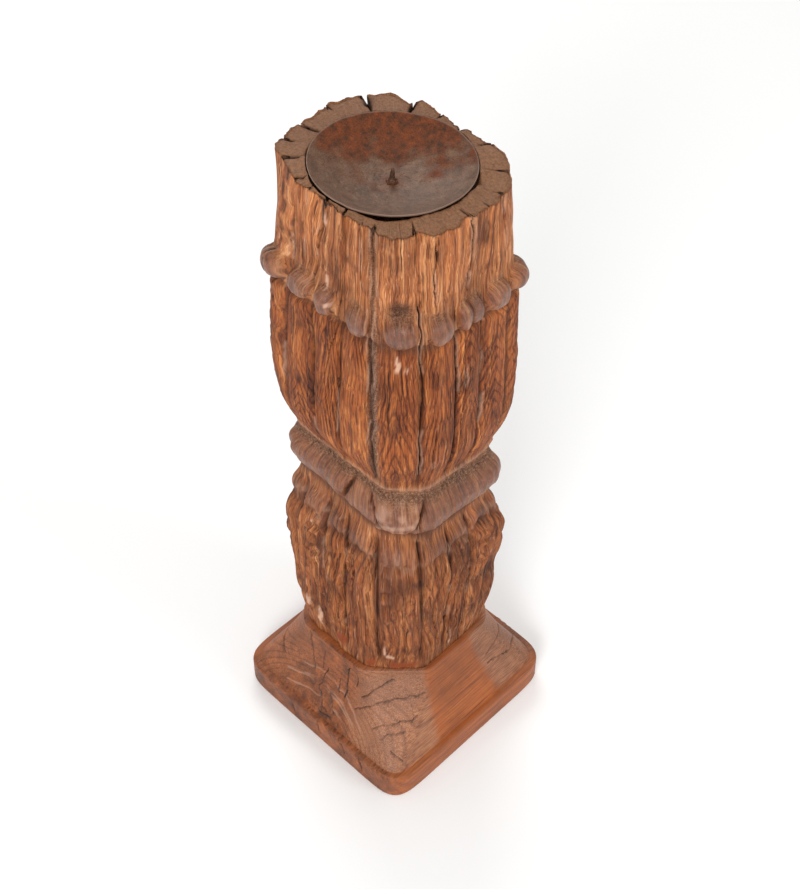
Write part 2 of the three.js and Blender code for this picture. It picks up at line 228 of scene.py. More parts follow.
def ramp_up(value, low, high):
    """0 below low, 1 above high, and 3t^2 - 2t^3 between."""
    t = np.clip((value - low) / (high - low), 0.0, 1.0)
    return t * t * (3.0 - 2.0 * t)


def ring_skin(name, rings, poles, attributes=None, material=None, smooth=True, open_below=False):
    """A closed skin: rings of equally many points in mm, each joined to the next by four-sided faces, with
    a pole point and a fan of triangles at each end. Faces point outwards where the rings climb the outside."""
    rows, columns = rings.shape[:2]
    points = np.concatenate([rings.reshape(-1, 3), np.array(poles, float)]) * MM
    index = np.arange(rows * columns).reshape(rows, columns)
    after = np.roll(index, -1, axis=1)
    quads = np.stack([index[:-1], after[:-1], after[1:], index[1:]], -1).reshape(-1, 4)
    low, high = rows * columns, rows * columns + 1
    fans = np.stack([np.full(columns, high), index[-1], after[-1]], -1)
    if open_below:
        points = np.delete(points, low, axis=0)
        fans[:, 0] = low
    else:
        fans = np.concatenate([fans, np.stack([np.full(columns, low), after[0], index[0]], -1)])
    mesh = bpy.data.meshes.new(name)
    mesh.vertices.add(len(points))
    mesh.vertices.foreach_set("co", points.ravel())
    mesh.loops.add(quads.size + fans.size)
    mesh.loops.foreach_set("vertex_index", np.concatenate([quads.ravel(), fans.ravel()]))
    mesh.polygons.add(len(quads) + len(fans))
    starts = np.concatenate([np.arange(len(quads)) * 4, quads.size + np.arange(len(fans)) * 3])
    mesh.polygons.foreach_set("loop_start", starts)
    mesh.update(calc_edges=True)
    mesh.validate()
    mesh.shade_smooth() if smooth else mesh.shade_flat()
    for key, values in (attributes or {}).items():
        layer = mesh.attributes.new(key, "FLOAT", "POINT")
        flat = np.concatenate([values.ravel(), [values[0].mean(), values[-1].mean()]])[:len(points)]
        layer.data.foreach_set("value", flat.astype(np.float32))
    piece = bpy.data.objects.new(name, mesh)
    scene.collection.objects.link(piece)
    if material:
        mesh.materials.append(material)
    return piece


def plinth_rings():
    """Rings from the underside's edge up the slab, the cove and the neck, to the rounded edge of the top.
    Slab and neck are straight; between them half width = foot + (neck - foot) * mix(t, sin 90t, 0.5)."""
    angle = np.radians(
        spread([(-180, 0.5), (-150, 0.38), (60, 0.38), (90, 0.5), (180, 0.5)], 861)[:-1]
    )[None, :]
    low = np.array([0.0, 0.5, 1.5, 4, 7, 10, 13, 16, 19, 22, 24.5, 26.5, 27.6, 28.0])
    rise = spread([(0.0, 1.0), (1.0, 1.0)], 84)
    cove = SLAB_TOP + rise * (COVE_TOP - SLAB_TOP)
    z = np.concatenate([low, [28.0, 28.2], cove, [94.5, 96.6, 97.0]])[:, None]
    mix = 0.5 * rise + 0.5 * np.sin(rise * math.pi / 2)
    edge = np.concatenate([[-1.2, -0.5, 0.0], np.zeros(8), [-0.4, -1.1, -2.4]])
    half = np.concatenate(
        [SLAB_HALF + edge, [99.0, 97.6], COVE_HALF + (NECK_HALF - COVE_HALF) * mix, [68.5, 68.3, 67.6]]
    )
    corner = np.concatenate(
        [
            SLAB_CORNER + edge, [134.0, 132.4], COVE_CORNER + (NECK_CORNER - COVE_CORNER) * mix,
            [84.5, 84.3, 83.6]
        ]
    )
    front = np.concatenate(
        [
            SLAB_CORNER + edge, [134.0, 132.4], COVE_CORNER + (NECK_FRONT - COVE_CORNER) * mix,
            [66.5, 66.3, 65.6]
        ]
    )
    half, corner, front = half[:, None], corner[:, None], front[:, None]
    far = eight_sides(angle, half, half, corner, corner, front, corner)
    x, y = far * np.cos(angle), far * np.sin(angle)
    return x, y, z + 0.0 * x


px, py, pz = plinth_rings()
plinth_angle = np.arctan2(py[0], px[0])
drift = 4.0 * noise(px / 90, py / 140, pz / 60, 11) + 1.2 * noise(px / 25, py / 60, pz / 25, 12)
heart_distance = np.hypot(px - HEART_X, (pz - HEART_Z) * 1.15) + drift
ring_phase = heart_distance / RING_SPACING
end_grain = ramp_up(np.abs(py) * 1.02 - np.abs(px), -2.0, 8.0) * ramp_up(pz, 0.5, 3.0)
ring_ridge = np.cos(2 * math.pi * ring_phase)
uneven = ramp_up(noise(heart_distance / 11, 0.0, 0.0, 25), -0.1, 0.7)
swell = 0.5 * end_grain * uneven * np.maximum(ring_ridge, -0.3) * ramp_up(pz, 2, 8) * (1 - ramp_up(pz, 88, 95))
swell = swell + 0.35 * noise(px / 14, py / 14, pz / 10, 13) * ramp_up(pz, 1, 6)


def surface_point(degrees_round, height):
    """The point of the plinth's side at this bearing and height, from the nearest column and ring."""
    column = np.argmin(np.abs((plinth_angle - np.radians(degrees_round) + math.pi) % (2 * math.pi) - math.pi))
    ring = np.argmin(np.abs(pz[:, column] - height))
    return np.array([px[ring, column], py[ring, column], pz[ring, column]])


# Drying checks: each runs through points given as (bearing in degrees, height in mm).
CHECKS = [
    [(-121, 94), (-117, 82), (-109, 62)], [
        (-100, 73), (-99, 50), (-93, 36), (-88, 35)
    ], [(-91, 55), (-83, 37)],
    [(-80, 88), (-78, 65), (-80, 56)], [
        (-70, 56), (-55, 69), (-43, 72), (-25, 76)
    ], [(-66, 70), (-56, 81), (-46, 89)],
    [(-58, 50), (-44, 57), (-32, 60)], [(-53, 46), (-40, 53)], [(-98, 34), (-93, 31), (-84, 33)],
    [(-79, 32), (-74, 24), (-70, 12)], [(49, 66), (34, 67), (28, 65)], [(52, 42), (37, 51), (27, 55)],
    [
        (-112, 30), (-108, 18), (-106, 5)
    ], [(-90, 26), (-88, 12)], [(102, 88), (97, 60), (92, 40)], [(76, 82), (82, 52)],
    [
        (121, 80), (113, 46), (108, 30)
    ], [(60, 72), (68, 48)], [(128, 60), (142, 66), (152, 70)], [(88, 30), (86, 12)],
    [
        (-128, 52), (-138, 60), (-150, 62)
    ], [(140, 44), (150, 46)], [(110, 24), (112, 8)], [(-62, 26), (-60, 10)],
    [(-106, 84), (-104, 70)], [
        (-75, 90), (-71, 81), (-72, 76)
    ], [(-86, 72), (-84, 60)], [(-48, 40), (-42, 34)],
]
# Rings that stand proud on the end grain of the left side, given in the same way.
PROUD_RINGS = [
    [(-121, 45), (-108, 51), (-95, 52), (-84, 51), (-75, 46), (-66, 33)],
    [(-112, 51), (-103, 55), (-90, 55), (-78, 51), (-70, 43), (-64, 30)],
    [(-116, 60), (-104, 65), (-90, 65), (-76, 60), (-66, 48), (-60, 36)],
    [(-118, 36), (-106, 42), (-94, 43), (-82, 41), (-74, 35)],
]


def near_lines(paths, width, shake):
    """How near each point is to a set of broken lines: the most of 1 - distance/width, where the distance is
    measured along the skin and the points are first moved by smooth noise so that the lines wander."""
    moved = [a + shake * noise(px / 7, py / 7, pz / 7, 17 + k) for k, a in enumerate((px, py, pz))]
    moved = [a + 0.25 * shake * noise(px / 2.5, py / 2.5, pz / 2.5, 20 + k) for k, a in enumerate(moved)]
    moved = np.stack(moved, -1)
    grid = np.stack([px, py, pz], -1)
    facing = np.cross(np.gradient(grid, axis=1), np.gradient(grid, axis=0))
    facing = facing / np.maximum(np.linalg.norm(facing, axis=-1, keepdims=True), 1e-9)
    nearness = np.zeros_like(px)
    for path in paths:
        knots = [surface_point(*point) for point in path]
        for start, end in zip(knots[:-1], knots[1:]):
            step = end - start
            share = np.clip(((moved - start) @ step) / (step @ step), 0, 1)
            gap = moved - start - share[..., None] * step
            off = np.sum(gap * facing, axis=-1, keepdims=True)
            along_skin = np.linalg.norm(gap - off * facing, axis=-1)
            nearness = np.maximum(
                nearness, np.where(np.abs(off[..., 0]) < 9.0, 1.0 - along_skin / width, 0.0)
            )
    return nearness


checks = near_lines(CHECKS, 0.95, 2.4)
checks = np.clip(1.3 * checks * (0.85 + 0.45 * noise(px / 9, py / 9, pz / 9, 24)), 0, 1)
proud = near_lines(PROUD_RINGS, 1.5, 1.2) * ramp_up(noise(px / 16, py / 16, pz / 16, 26), -0.5, 0.2)
turned = np.arctan2(py, px)
cut_corner = np.maximum(np.abs(np.cos(turned - math.pi / 4)), np.abs(np.cos(turned + math.pi / 4)))
end_side = ramp_up(-turned, math.radians(45), math.radians(52))
wedge = ramp_up(cut_corner, 0.905 - 0.07 * end_side, 0.945 + 0.045 * end_side) * ramp_up(pz, 27, 30)
wedge = wedge * (1 - 0.75 * ramp_up(-turned, math.radians(95), math.radians(110)))
far = np.hypot(px, py)
lift = swell - 2.0 * checks + 0.9 * proud
px = px + lift * px / far
py = py + lift * py / far

# The top of the neck, hidden under the post, closes in to the middle.
inner = [np.stack([px[-1] * t, py[-1] * t, np.full_like(px[-1], PLINTH_TOP)], -1) for t in (0.9, 0.6, 0.3)]
plinth_skin = np.concatenate([np.stack([px, py, pz], -1), np.array(inner)])
zeros = np.zeros((len(inner), px.shape[1]))

plinth_wood, tree, shader = new_material("plinth_hardwood")
# A dense tropical hardwood, planed and oiled, then dried hard. Rings show as lines along the grain on the
# X sides and as curves on the end grain, where the hard late wood stands a little proud and looks paler.
place = node(
    tree, "VectorMath", {0: node(tree, "TexCoord").outputs["Object"], "Scale": 1000.0}, operation="SCALE"
)
rings = node(tree, "Attribute", attribute_name="rings").outputs["Fac"]
ends = node(tree, "Attribute", attribute_name="end_grain").outputs["Fac"]
corner_cut = node(tree, "Attribute", attribute_name="wedge").outputs["Fac"]
check_shade = node(tree, "Attribute", attribute_name="check_shade").outputs["Fac"]
# Fibres are about 1.3 mm apart and 56 mm long; pores are drawn 0.7 mm wide so that they show.
fibre_place = node(tree, "VectorMath", {0: place, 1: (0.75, 0.018, 0.75)}, operation="MULTIPLY")
fibre = node(tree, "TexNoise", {"Vector": fibre_place, "Scale": 1.0, "Detail": 4.0, "Roughness": 0.62})
pore_place = node(tree, "VectorMath", {0: place, 1: (1.4, 0.07, 1.4)}, operation="MULTIPLY")
pore = node(tree, "TexNoise", {"Vector": pore_place, "Scale": 1.0, "Detail": 2.0, "Roughness": 0.6})
cloud = node(tree, "TexNoise", {"Vector": place, "Scale": 0.02, "Detail": 4.0, "Roughness": 0.6})
shake = node(tree, "Math", {0: fibre, 1: 2.2, 2: rings}, operation="MULTIPLY_ADD")
ring_turn = node(tree, "Math", {0: shake, 1: 1.0 / RING_SPACING}, operation="MULTIPLY")
ring_part = node(tree, "Math", {0: ring_turn}, operation="FRACT")
long_colour = node(
    tree, "ValToRGB", {"Fac": fibre},
    [(0.28, "#763b13"), (0.45, "#9d5522"), (0.6, "#ab6028"), (0.78, "#bd7434")]
)
end_grit = node(tree, "TexNoise", {"Vector": place, "Scale": 0.09, "Detail": 6.0, "Roughness": 0.7})
end_colour = node(
    tree, "ValToRGB", {"Fac": end_grit},
    [(0.32, "#5e3418"), (0.46, "#8c4e23"), (0.56, "#a05b2e"), (0.7, "#c47539")]
)
wedge_colour = node(tree, "ValToRGB", {"Fac": pore}, [(0.3, "#754830"), (0.47, "#9a6444"), (0.7, "#b78663")])
pitted = node(tree, "ValToRGB", {"Fac": pore}, [(0.34, "#7d6a5e"), (0.5, "#ffffff")])
end_colour = node(tree, "Mix", {0: 0.8, 6: end_colour, 7: pitted}, data_type="RGBA", blend_type="MULTIPLY")
sides = node(tree, "Mix", {0: ends, 6: long_colour, 7: end_colour.outputs[2]}, data_type="RGBA")
sides = node(tree, "Mix", {0: corner_cut, 6: sides.outputs[2], 7: wedge_colour}, data_type="RGBA")
late_wood = node(
    tree, "ValToRGB", {"Fac": ring_part},
    [(0.0, "#9b8678"), (0.1, "#f2ebe4"), (0.7, "#ffffff"), (1.0, "#a08c80")]
)
ring_patch = node(tree, "MapRange", {0: cloud, 1: 0.38, 2: 0.62, 3: 0.1, 4: 0.62})
ringed = node(
    tree, "Mix", {0: ring_patch, 6: sides.outputs[2], 7: late_wood}, data_type="RGBA", blend_type="MULTIPLY"
)
patches = node(tree, "ValToRGB", {"Fac": cloud}, [(0.35, "#b9a89c"), (0.6, "#fff6ee")])
patched = node(
    tree, "Mix", {0: 0.7, 6: ringed.outputs[2], 7: patches}, data_type="RGBA", blend_type="MULTIPLY"
)
proud_ring = node(tree, "Attribute", attribute_name="proud").outputs["Fac"]
proud_amount = node(tree, "Math", {0: proud_ring, 1: 0.55}, operation="MULTIPLY")
patched = node(tree, "Mix", {0: proud_amount, 6: patched.outputs[2], 7: "#b98d74"}, data_type="RGBA")
# Painted shade: the drying checks are darkened to near-black #22150c, as shade inside the splits.
checked = node(tree, "Mix", {0: check_shade, 6: patched.outputs[2], 7: "#22150c"}, data_type="RGBA")
tree.links.new(checked.outputs[2], shader.inputs["Base Color"])
gloss = node(tree, "MapRange", {0: fibre, 3: 0.62, 4: 0.46})
tree.links.new(gloss.outputs[0], shader.inputs["Roughness"])
grit = node(tree, "Math", {0: pore, 1: 0.5, 2: fibre}, operation="MULTIPLY_ADD")
bump = node(tree, "Bump", {"Height": grit, "Strength": 0.5, "Distance": 0.0008})
tree.links.new(bump.outputs[0], shader.inputs["Normal"])

plinth = ring_skin(
    "coved_plinth",
    plinth_skin,
    [(0, 0, 0), (0, 0, PLINTH_TOP)],
    {
        "rings": np.concatenate([heart_distance, zeros + 80]),
        "end_grain": np.concatenate([end_grain, zeros]),
        "wedge": np.concatenate([wedge, zeros]),
        "check_shade": np.concatenate([checks, zeros]),
        "proud": np.concatenate([proud, zeros]),
    },
    plinth_wood,
    open_below=True,
)


def bore_pockets(piece):
    """Closes the underside round four round pockets: each goes up to POCKET_DEPTH at the washer's width, then up to
    SHANK_HOLE_DEPTH at the screw's width, where a flat fan of triangles closes it."""
    steps = 40
    turn = np.linspace(0, 2 * math.pi, steps, endpoint=False)
    built = bmesh.new()
    built.from_mesh(piece.data)
    outline = [edge for edge in built.edges if edge.is_boundary]
    for centre_x in (-FIXING_OFFSET, FIXING_OFFSET):
        for centre_y in (-FIXING_OFFSET, FIXING_OFFSET):
            levels = [(POCKET_RADIUS, 0), (POCKET_RADIUS - 0.2, 0.3), (POCKET_RADIUS - 0.2, POCKET_DEPTH)]
            levels += [(SHANK_HOLE_RADIUS, POCKET_DEPTH), (SHANK_HOLE_RADIUS, SHANK_HOLE_DEPTH)]
            before = None
            for radius, height in levels:
                ring = [
                    built.verts.new(
                        (
                            (centre_x + radius * math.cos(t)) * MM, (centre_y + radius * math.sin(t)) * MM,
                            height * MM
                        )
                    )
                    for t in turn
                ]
                if before is None:
                    outline += [built.edges.new((ring[k - 1], ring[k])) for k in range(steps)]
                else:
                    for k in range(steps):
                        built.faces.new((before[k - 1], before[k], ring[k], ring[k - 1]))
                before = ring
            tip = built.verts.new((centre_x * MM, centre_y * MM, SHANK_HOLE_DEPTH * MM))
            for k in range(steps):
                built.faces.new((before[k - 1], before[k], tip))
    bmesh.ops.triangle_fill(built, use_beauty=True, use_dissolve=False, edges=outline)
    bmesh.ops.recalc_face_normals(built, faces=built.faces[:])
    built.to_mesh(piece.data)
    built.free()
    piece.data.shade_smooth()


bore_pockets(plinth)
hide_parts("plinth")
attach(plinth, "stand")

# ---------------------------------------------------------------------------
# Post. An old carved hardwood post with its heart in the middle, so it has
# split from every side. Two leaf capitals, a rolled collar between them, a row
# of beads under the plain sawn top, all worn, weathered and cracked.
# ---------------------------------------------------------------------------
POST_TOP = 602.0
BEAD_Z = 516.0
COLLAR_Z = 314.0
MEAN_RADIUS = 78.0
GRAIN_RADIUS = 75.0
TOP_TILT = math.radians(2.3)
# Height, half width along X, half width along Y, then the left, right, front and back corners from the middle.
STATIONS = np.array([
    (97, 62.5, 62.0, 80.0, 81.0, 62.5, 80.0),
    (112, 63.0, 63.0, 82.0, 83.0, 64.5, 82.0),
    (126, 64.0, 63.0, 83.0, 84.5, 66.5, 83.5),
    (150, 66.0, 63.5, 86.5, 87.5, 70.0, 87.0),
    (180, 68.5, 64.0, 89.5, 91.5, 75.0, 90.0),
    (222, 73.5, 62.5, 91.6, 96.0, 79.8, 92.8),
    (238, 73.0, 62.0, 91.8, 94.0, 79.5, 92.3),
    (248, 71.5, 60.5, 90.0, 91.0, 77.0, 90.0),
    (259, 69.0, 58.0, 86.5, 86.0, 73.5, 86.0),
    (270, 66.5, 55.0, 85.0, 82.0, 70.0, 82.0),
    (281, 64.0, 53.5, 82.5, 79.0, 66.5, 80.0),
    (291, 63.5, 52.5, 78.0, 78.0, 65.0, 78.0),
    (297, 66.5, 55.5, 81.0, 82.5, 69.0, 82.0),
    (304, 71.0, 60.0, 85.5, 87.0, 73.0, 86.0),
    (314, 73.0, 62.0, 87.5, 88.5, 75.0, 87.5),
    (324, 71.0, 60.0, 85.5, 86.5, 73.0, 86.0),
    (331, 66.5, 55.5, 81.0, 82.0, 69.0, 82.0),
    (338, 63.0, 52.0, 77.5, 79.5, 65.0, 78.0),
    (347, 63.0, 52.5, 77.5, 83.0, 65.5, 79.0),
    (356, 66.5, 56.0, 80.0, 88.0, 69.5, 83.0),
    (366, 70.0, 60.0, 84.0, 92.5, 74.5, 88.0),
    (380, 73.5, 63.0, 88.5, 95.5, 79.0, 92.5),
    (400, 75.0, 64.3, 93.5, 96.0, 81.7, 94.7),
    (435, 75.2, 64.5, 94.5, 94.9, 82.0, 94.7),
    (470, 75.0, 64.2, 92.0, 92.5, 80.5, 92.2),
    (497, 74.6, 63.6, 90.5, 91.5, 79.0, 91.7),
    (507, 72.5, 61.5, 87.0, 87.0, 74.0, 87.0),
    (530, 72.3, 61.0, 85.5, 86.0, 72.5, 85.8),
    (565, 73.0, 62.0, 85.2, 85.6, 71.5, 85.4),
    (590, 74.0, 63.5, 83.0, 84.0, 70.5, 83.2),
    (603, 74.5, 64.5, 82.0, 82.5, 70.0, 82.0),
], float)
# The sawn top's outline, bearing and distance from the middle: the strips between splits have each shrunk and
# worn differently, so they stand at different distances.
TOP_OUTLINE = np.array([
    (-155, 79.5), (-144, 80), (-133, 73), (-120, 68), (-111, 65), (-99, 61), (-85, 60), (-77, 62), (-64, 68),
    (-56, 70), (-52, 75), (-44, 81), (-36, 79), (-32, 74), (-26, 80), (-12, 76), (-5, 75), (8, 76), (22, 80), (36, 82),
    (44, 81), (58, 78), (72, 69), (87, 63), (95, 66), (104, 70), (120, 78), (126, 75), (136, 87), (144, 83), (152, 84),
    (172, 81), (189, 79), (205, 79.5),
], float)
# Lines that the grain follows from top to foot: bearings in degrees at these heights.
LINE_HEIGHTS = np.array([603, 560, 512, 440, 350, 240, 97], float)
LINES = np.array([
    (-119.0, -121.5, -124.0, -130.0, -132.0, -133.0, -131.0),
    (-108.5, -112.5, -116.0, -120.0, -122.0, -121.0, -120.0),
    (-92.0, -101.5, -107.5, -109.5, -111.0, -110.0, -109.0),
    (-75.5, -79.6, -82.0, -97.0, -99.0, -99.0, -99.0),
    (-72.0, -76.5, -79.0, -85.5, -88.0, -88.5, -88.5),
    (-62.0, -63.2, -66.0, -71.0, -72.0, -72.0, -72.0),
    (-55.0, -56.3, -57.6, -58.0, -57.5, -57.0, -57.0),
    (-34.0, -32.2, -30.6, -31.5, -30.5, -28.5, -24.5),
    (-24.0, -23.5, -23.6, -23.3, -23.0, -19.0, -16.0),
    (-11.0, -10.2, -8.8, -7.4, -6.0, -4.0, -1.0),
    (-1.5, 0.2, 1.6, -1.6, -2.8, 0.5, 3.0),
    (12.0, 11.8, 11.2, 12.7, 14.0, 15.5, 17.0),
    (24.0, 27.0, 30.2, 33.0, 35.0, 35.0, 35.0),
    (42.0, 43.0, 45.0, 46.0, 46.0, 45.0, 45.0),
    (67.0, 64.0, 60.0, 57.5, 57.0, 57.0, 58.0),
    (86.5, 84.0, 80.5, 79.0, 78.0, 80.0, 80.0),
    (104.0, 103.0, 103.5, 102.0, 103.0, 104.0, 104.0),
    (123.0, 124.0, 125.0, 125.5, 124.0, 124.0, 123.0),
    (149.0, 150.0, 151.0, 150.0, 148.0, 149.0, 150.0),
    (170.0, 171.0, 170.5, 172.0, 171.0, 170.0, 171.0),
    (191.0, 191.0, 190.0, 191.5, 190.0, 191.0, 190.0),
    (206.0, 208.0, 210.0, 211.0, 210.0, 210.0, 211.0),
    (221.0, 222.5, 225.0, 226.0, 226.0, 225.0, 225.0),
])
# The lines that part one leaf from the next.
LEAF_EDGES = (0, 2, 4, 6, 7, 9, 11, 12, 14, 15, 16, 17, 18, 19, 20, 21)
# Cracks on a line: its number, top and bottom height, depth and half width in mm.
CRACKS = [
    (0, 603, 520, 6.0, 1.2), (0, 480, 400, 2.5, 1.0), (1, 603, 535, 4.0, 1.0), (2, 603, 572, 8.0, 3.4),
    (2, 585, 516, 7.0, 2.6), (2, 500, 352, 7.0, 1.2), (3, 603, 575, 7.0, 1.4), (3, 532, 432, 5.0, 1.1),
    (4, 470, 350, 6.0, 1.3), (5, 603, 540, 3.5, 0.9), (6, 603, 350, 1.6, 2.4), (7, 603, 592, 8.0, 1.8),
    (7, 545, 360, 5.5, 1.1), (8, 598, 532, 5.0, 1.0), (8, 424, 345, 2.5, 0.8), (9, 528, 360, 7.0, 1.3),
    (10, 603, 530, 6.0, 1.3), (10, 470, 372, 4.0, 1.0), (11, 524, 380, 6.0, 1.2), (12, 603, 545, 5.0, 1.2),
    (13, 603, 540, 9.0, 1.8), (14, 603, 520, 7.0, 1.4), (15, 603, 400, 8.0, 1.6), (16, 603, 570, 4.0, 1.2),
    (17, 603, 480, 8.0, 1.5), (18, 603, 390, 14.0, 3.2), (19, 603, 540, 5.0, 1.2), (20, 603, 440, 9.0, 1.8),
    (21, 603, 530, 5.0, 1.3), (22, 603, 480, 7.0, 1.5), (16, 500, 360, 5.0, 1.1), (19, 505, 370, 5.0, 1.2),
    (2, 262, 150, 3.5, 1.0), (4, 268, 128, 4.5, 1.1), (9, 270, 120, 4.0, 1.1), (10, 134, 100, 6.0, 1.4),
    (15, 268, 110, 5.0, 1.3), (18, 270, 100, 6.0, 1.5), (20, 262, 120, 4.5, 1.2), (7, 285, 250, 3.0, 1.0),
    (11, 262, 160, 3.5, 1.0), (13, 260, 130, 4.0, 1.1), (17, 250, 110, 4.0, 1.1),
]
# Splits in the sawn top that run in from its edge: bearing, length and half width in mm.
TOP_SPLITS = [
    (191, 22, 1.6), (149, 20, 3.4), (123, 15, 2.0), (86.5, 12, 1.6), (67, 9, 1.1), (42, 11, 1.1),
    (-34, 7, 1.1), (-1.5, 12, 0.8), (-55, 6, 1.2), (-92, 7, 1.8), (-108.5, 5, 1.0), (-119, 8, 1.0),
    (206, 10, 1.1), (221, 14, 1.2), (170, 7, 0.9), (104, 7, 0.9), (24, 6, 0.9), (12, 5, 0.8), (-75.5, 5, 1.0),
]
# Beads: bearing, half width along the face, and how far they stand out, in mm.
BEADS = [
    (-135.5, 12.5, 11.0), (-115.0, 10.8, 8.5), (-94.0, 11.0, 8.5), (-67.5, 11.5, 8.5), (-41.5, 13.5, 9.5),
    (-19.4, 11.5, 8.5), (-2.6, 6.8, 8.0), (5.2, 6.6, 7.2), (21.5, 10.8, 8.5), (41.0, 12.5, 11.0),
    (68.0, 11.0, 8.3), (91.0, 11.0, 8.5), (113.5, 11.0, 8.3), (137.0, 12.5, 10.0), (160.0, 11.0, 8.3),
    (180.5, 11.0, 8.5), (200.0, 11.0, 8.3),
]
# Bearings where the rolled collar is cut into pieces.
COLLAR_CUTS = (-141.0, -84.5, -57.0, -30.0, 51.0, 96.0, 139.0, 186.0)

guide = np.concatenate([LINES, LINES[:1] + 360.0])
rest_bearing = guide[:, 3]
spacing = [(-130.0, 0.66), (-60.0, 0.6), (60.0, 0.66), (90.0, 0.9), (180.0, 0.9), (230.0, 0.66)]
marks = np.arange(-130.0, 230.0, 0.1)
near = np.min(np.abs(marks[:, None] - rest_bearing[None, :]), axis=1)
wanted = np.interp(marks, *np.array(spacing).T) * (0.42 + 0.58 * ramp_up(near, 0.6, 3.2))
columns = spread(list(zip(marks, wanted)) + [(230.0, wanted[0])], 533)[:-1]
heights = spread([
    (97, 2.2), (125, 3.2), (215, 3.2), (262, 2.6), (285, 1.9), (345, 1.9), (365, 3.0), (480, 3.4), (498, 1.7),
    (524, 1.5), (545, 2.6), (575, 4.5), (592, 3.6), (602, 2.0),
], 160)
line_at = np.stack([np.interp(heights, LINE_HEIGHTS[::-1], line[::-1]) for line in guide])
kernel = np.exp(-0.5 * (np.arange(-6, 7) / 3.0) ** 2)
kernel = kernel / kernel.sum()
line_at = np.stack([np.convolve(np.pad(line, 6, "edge"), kernel, "valid") for line in line_at])
theta = np.stack([np.interp(columns, rest_bearing, line_at[:, row]) for row in range(len(heights))])
theta = np.radians(theta)
wz = heights[:, None] + 0.0 * theta
# Places on a plain 75 mm cylinder that the grain's lines run straight up, for patterns that follow the grain.
grain_turn = np.radians(columns)[None, :] + 0 * theta
gx, gy = GRAIN_RADIUS * np.cos(grain_turn), GRAIN_RADIUS * np.sin(grain_turn)


def arc(bearing):
    """Distance in mm along the surface from each point to a bearing: radius * angle, the short way round."""
    gap = (theta - np.radians(bearing) + math.pi) % (2 * math.pi) - math.pi
    return gap * MEAN_RADIUS


# The collar and the bead row aren't level: both stand higher at the left corner than at the right.
lean = np.cos(theta - math.pi / 4)
shape_z = wz + 9.5 * lean * np.exp(
    -(((wz - COLLAR_Z) / 42.0) ** 2)
) + 2.5 * lean * np.exp(-(((wz - BEAD_Z) / 30.0) ** 2))
level = np.linspace(90, 610, 1041)
profile = [np.interp(level, STATIONS[:, 0], STATIONS[:, k]) for k in range(1, 7)]
soft = np.exp(-0.5 * (np.arange(-10, 11) / 4.0) ** 2)
profile = [np.convolve(np.pad(p, 10, "edge"), soft / soft.sum(), "valid") for p in profile]
far = eight_sides(theta, *[np.interp(shape_z, level, p) for p in profile])
ux, uy = np.cos(theta), np.sin(theta)
outline = np.interp(np.degrees(theta), TOP_OUTLINE[:, 0], TOP_OUTLINE[:, 1], period=360.0)
far = far + (outline - far) * ramp_up(wz, 528, 600) * 0.95

# Leaves: between two leaf edges t runs from 0 to 1. A leaf is slightly round across and carries veins like
# nested arrow heads, cos(2 pi (z/rise + sqrt(d^2 + tip^2)/gap)), flatter on the broad leaves.
edges = [line_at[k] for k in LEAF_EDGES] + [line_at[LEAF_EDGES[0]] + 360.0]
edges = np.array(edges)
degrees = np.degrees(theta)
share = np.zeros_like(theta)
leaf_number = np.zeros_like(theta)
for number in range(len(LEAF_EDGES)):
    low, high = edges[number][:, None], edges[number + 1][:, None]
    for turn in (-360.0, 0.0, 360.0):
        inside = (degrees + turn >= low) & (degrees + turn < high)
        share = np.where(inside, (degrees + turn - low) / (high - low), share)
        leaf_number = np.where(inside, number, leaf_number)
leaf_half = 15.0
from_middle = (share - 0.5) * 2.0
upper_leaf = ramp_up(shape_z, 340, 356) * (1 - ramp_up(shape_z, 498, 504))
lower_leaf = ramp_up(shape_z, 100, 116) * (1 - ramp_up(shape_z, 272, 286))
round_leaf = 1.0 - np.abs(from_middle) ** 2.6
far = far + 2.2 * (round_leaf - 0.6) * upper_leaf + 3.4 * (round_leaf - 0.6) * lower_leaf
edge_gap = np.minimum(share, 1 - share) * 2 * leaf_half
groove = np.exp(-((edge_gap / 2.1) ** 2))
ragged = 0.75 + 0.25 * noise(leaf_number * 7.3, 0.0, wz / 16, 21)
groove_depth = groove * ragged * (2.4 * upper_leaf + 2.0 * lower_leaf)
across = from_middle * leaf_half
wobble = noise(ux * 3.1, uy * 3.1, wz / 34, 22) + 0.35 * noise(ux * 9, uy * 9, wz / 12, 23)
CHEVRON_LEAVES = (0, 5, 6, 7, 8, 12, 15)
FRONT_LEAF = 3
broad = np.isin(leaf_number, CHEVRON_LEAVES)
vein_rise = np.where(broad, 12.0, 27.0)
vein_gap = np.where(broad, 4.6, 2.9)
vein_gap = np.where(leaf_number == FRONT_LEAF, 1.9 + 2.4 * ramp_up(500.0 - wz, 0, 130), vein_gap)
arch = wz / vein_rise + np.sqrt(across ** 2 + 3.0) / vein_gap + 0.7 * wobble + leaf_number * 0.37
vein_patch = ramp_up(noise(gx / 12, gy / 12, wz / 45, 50), -0.6, 0.3)
vein = np.cos(2 * math.pi * arch)
far = far - groove_depth + 0.45 * vein * vein_patch * upper_leaf * (1 - groove)

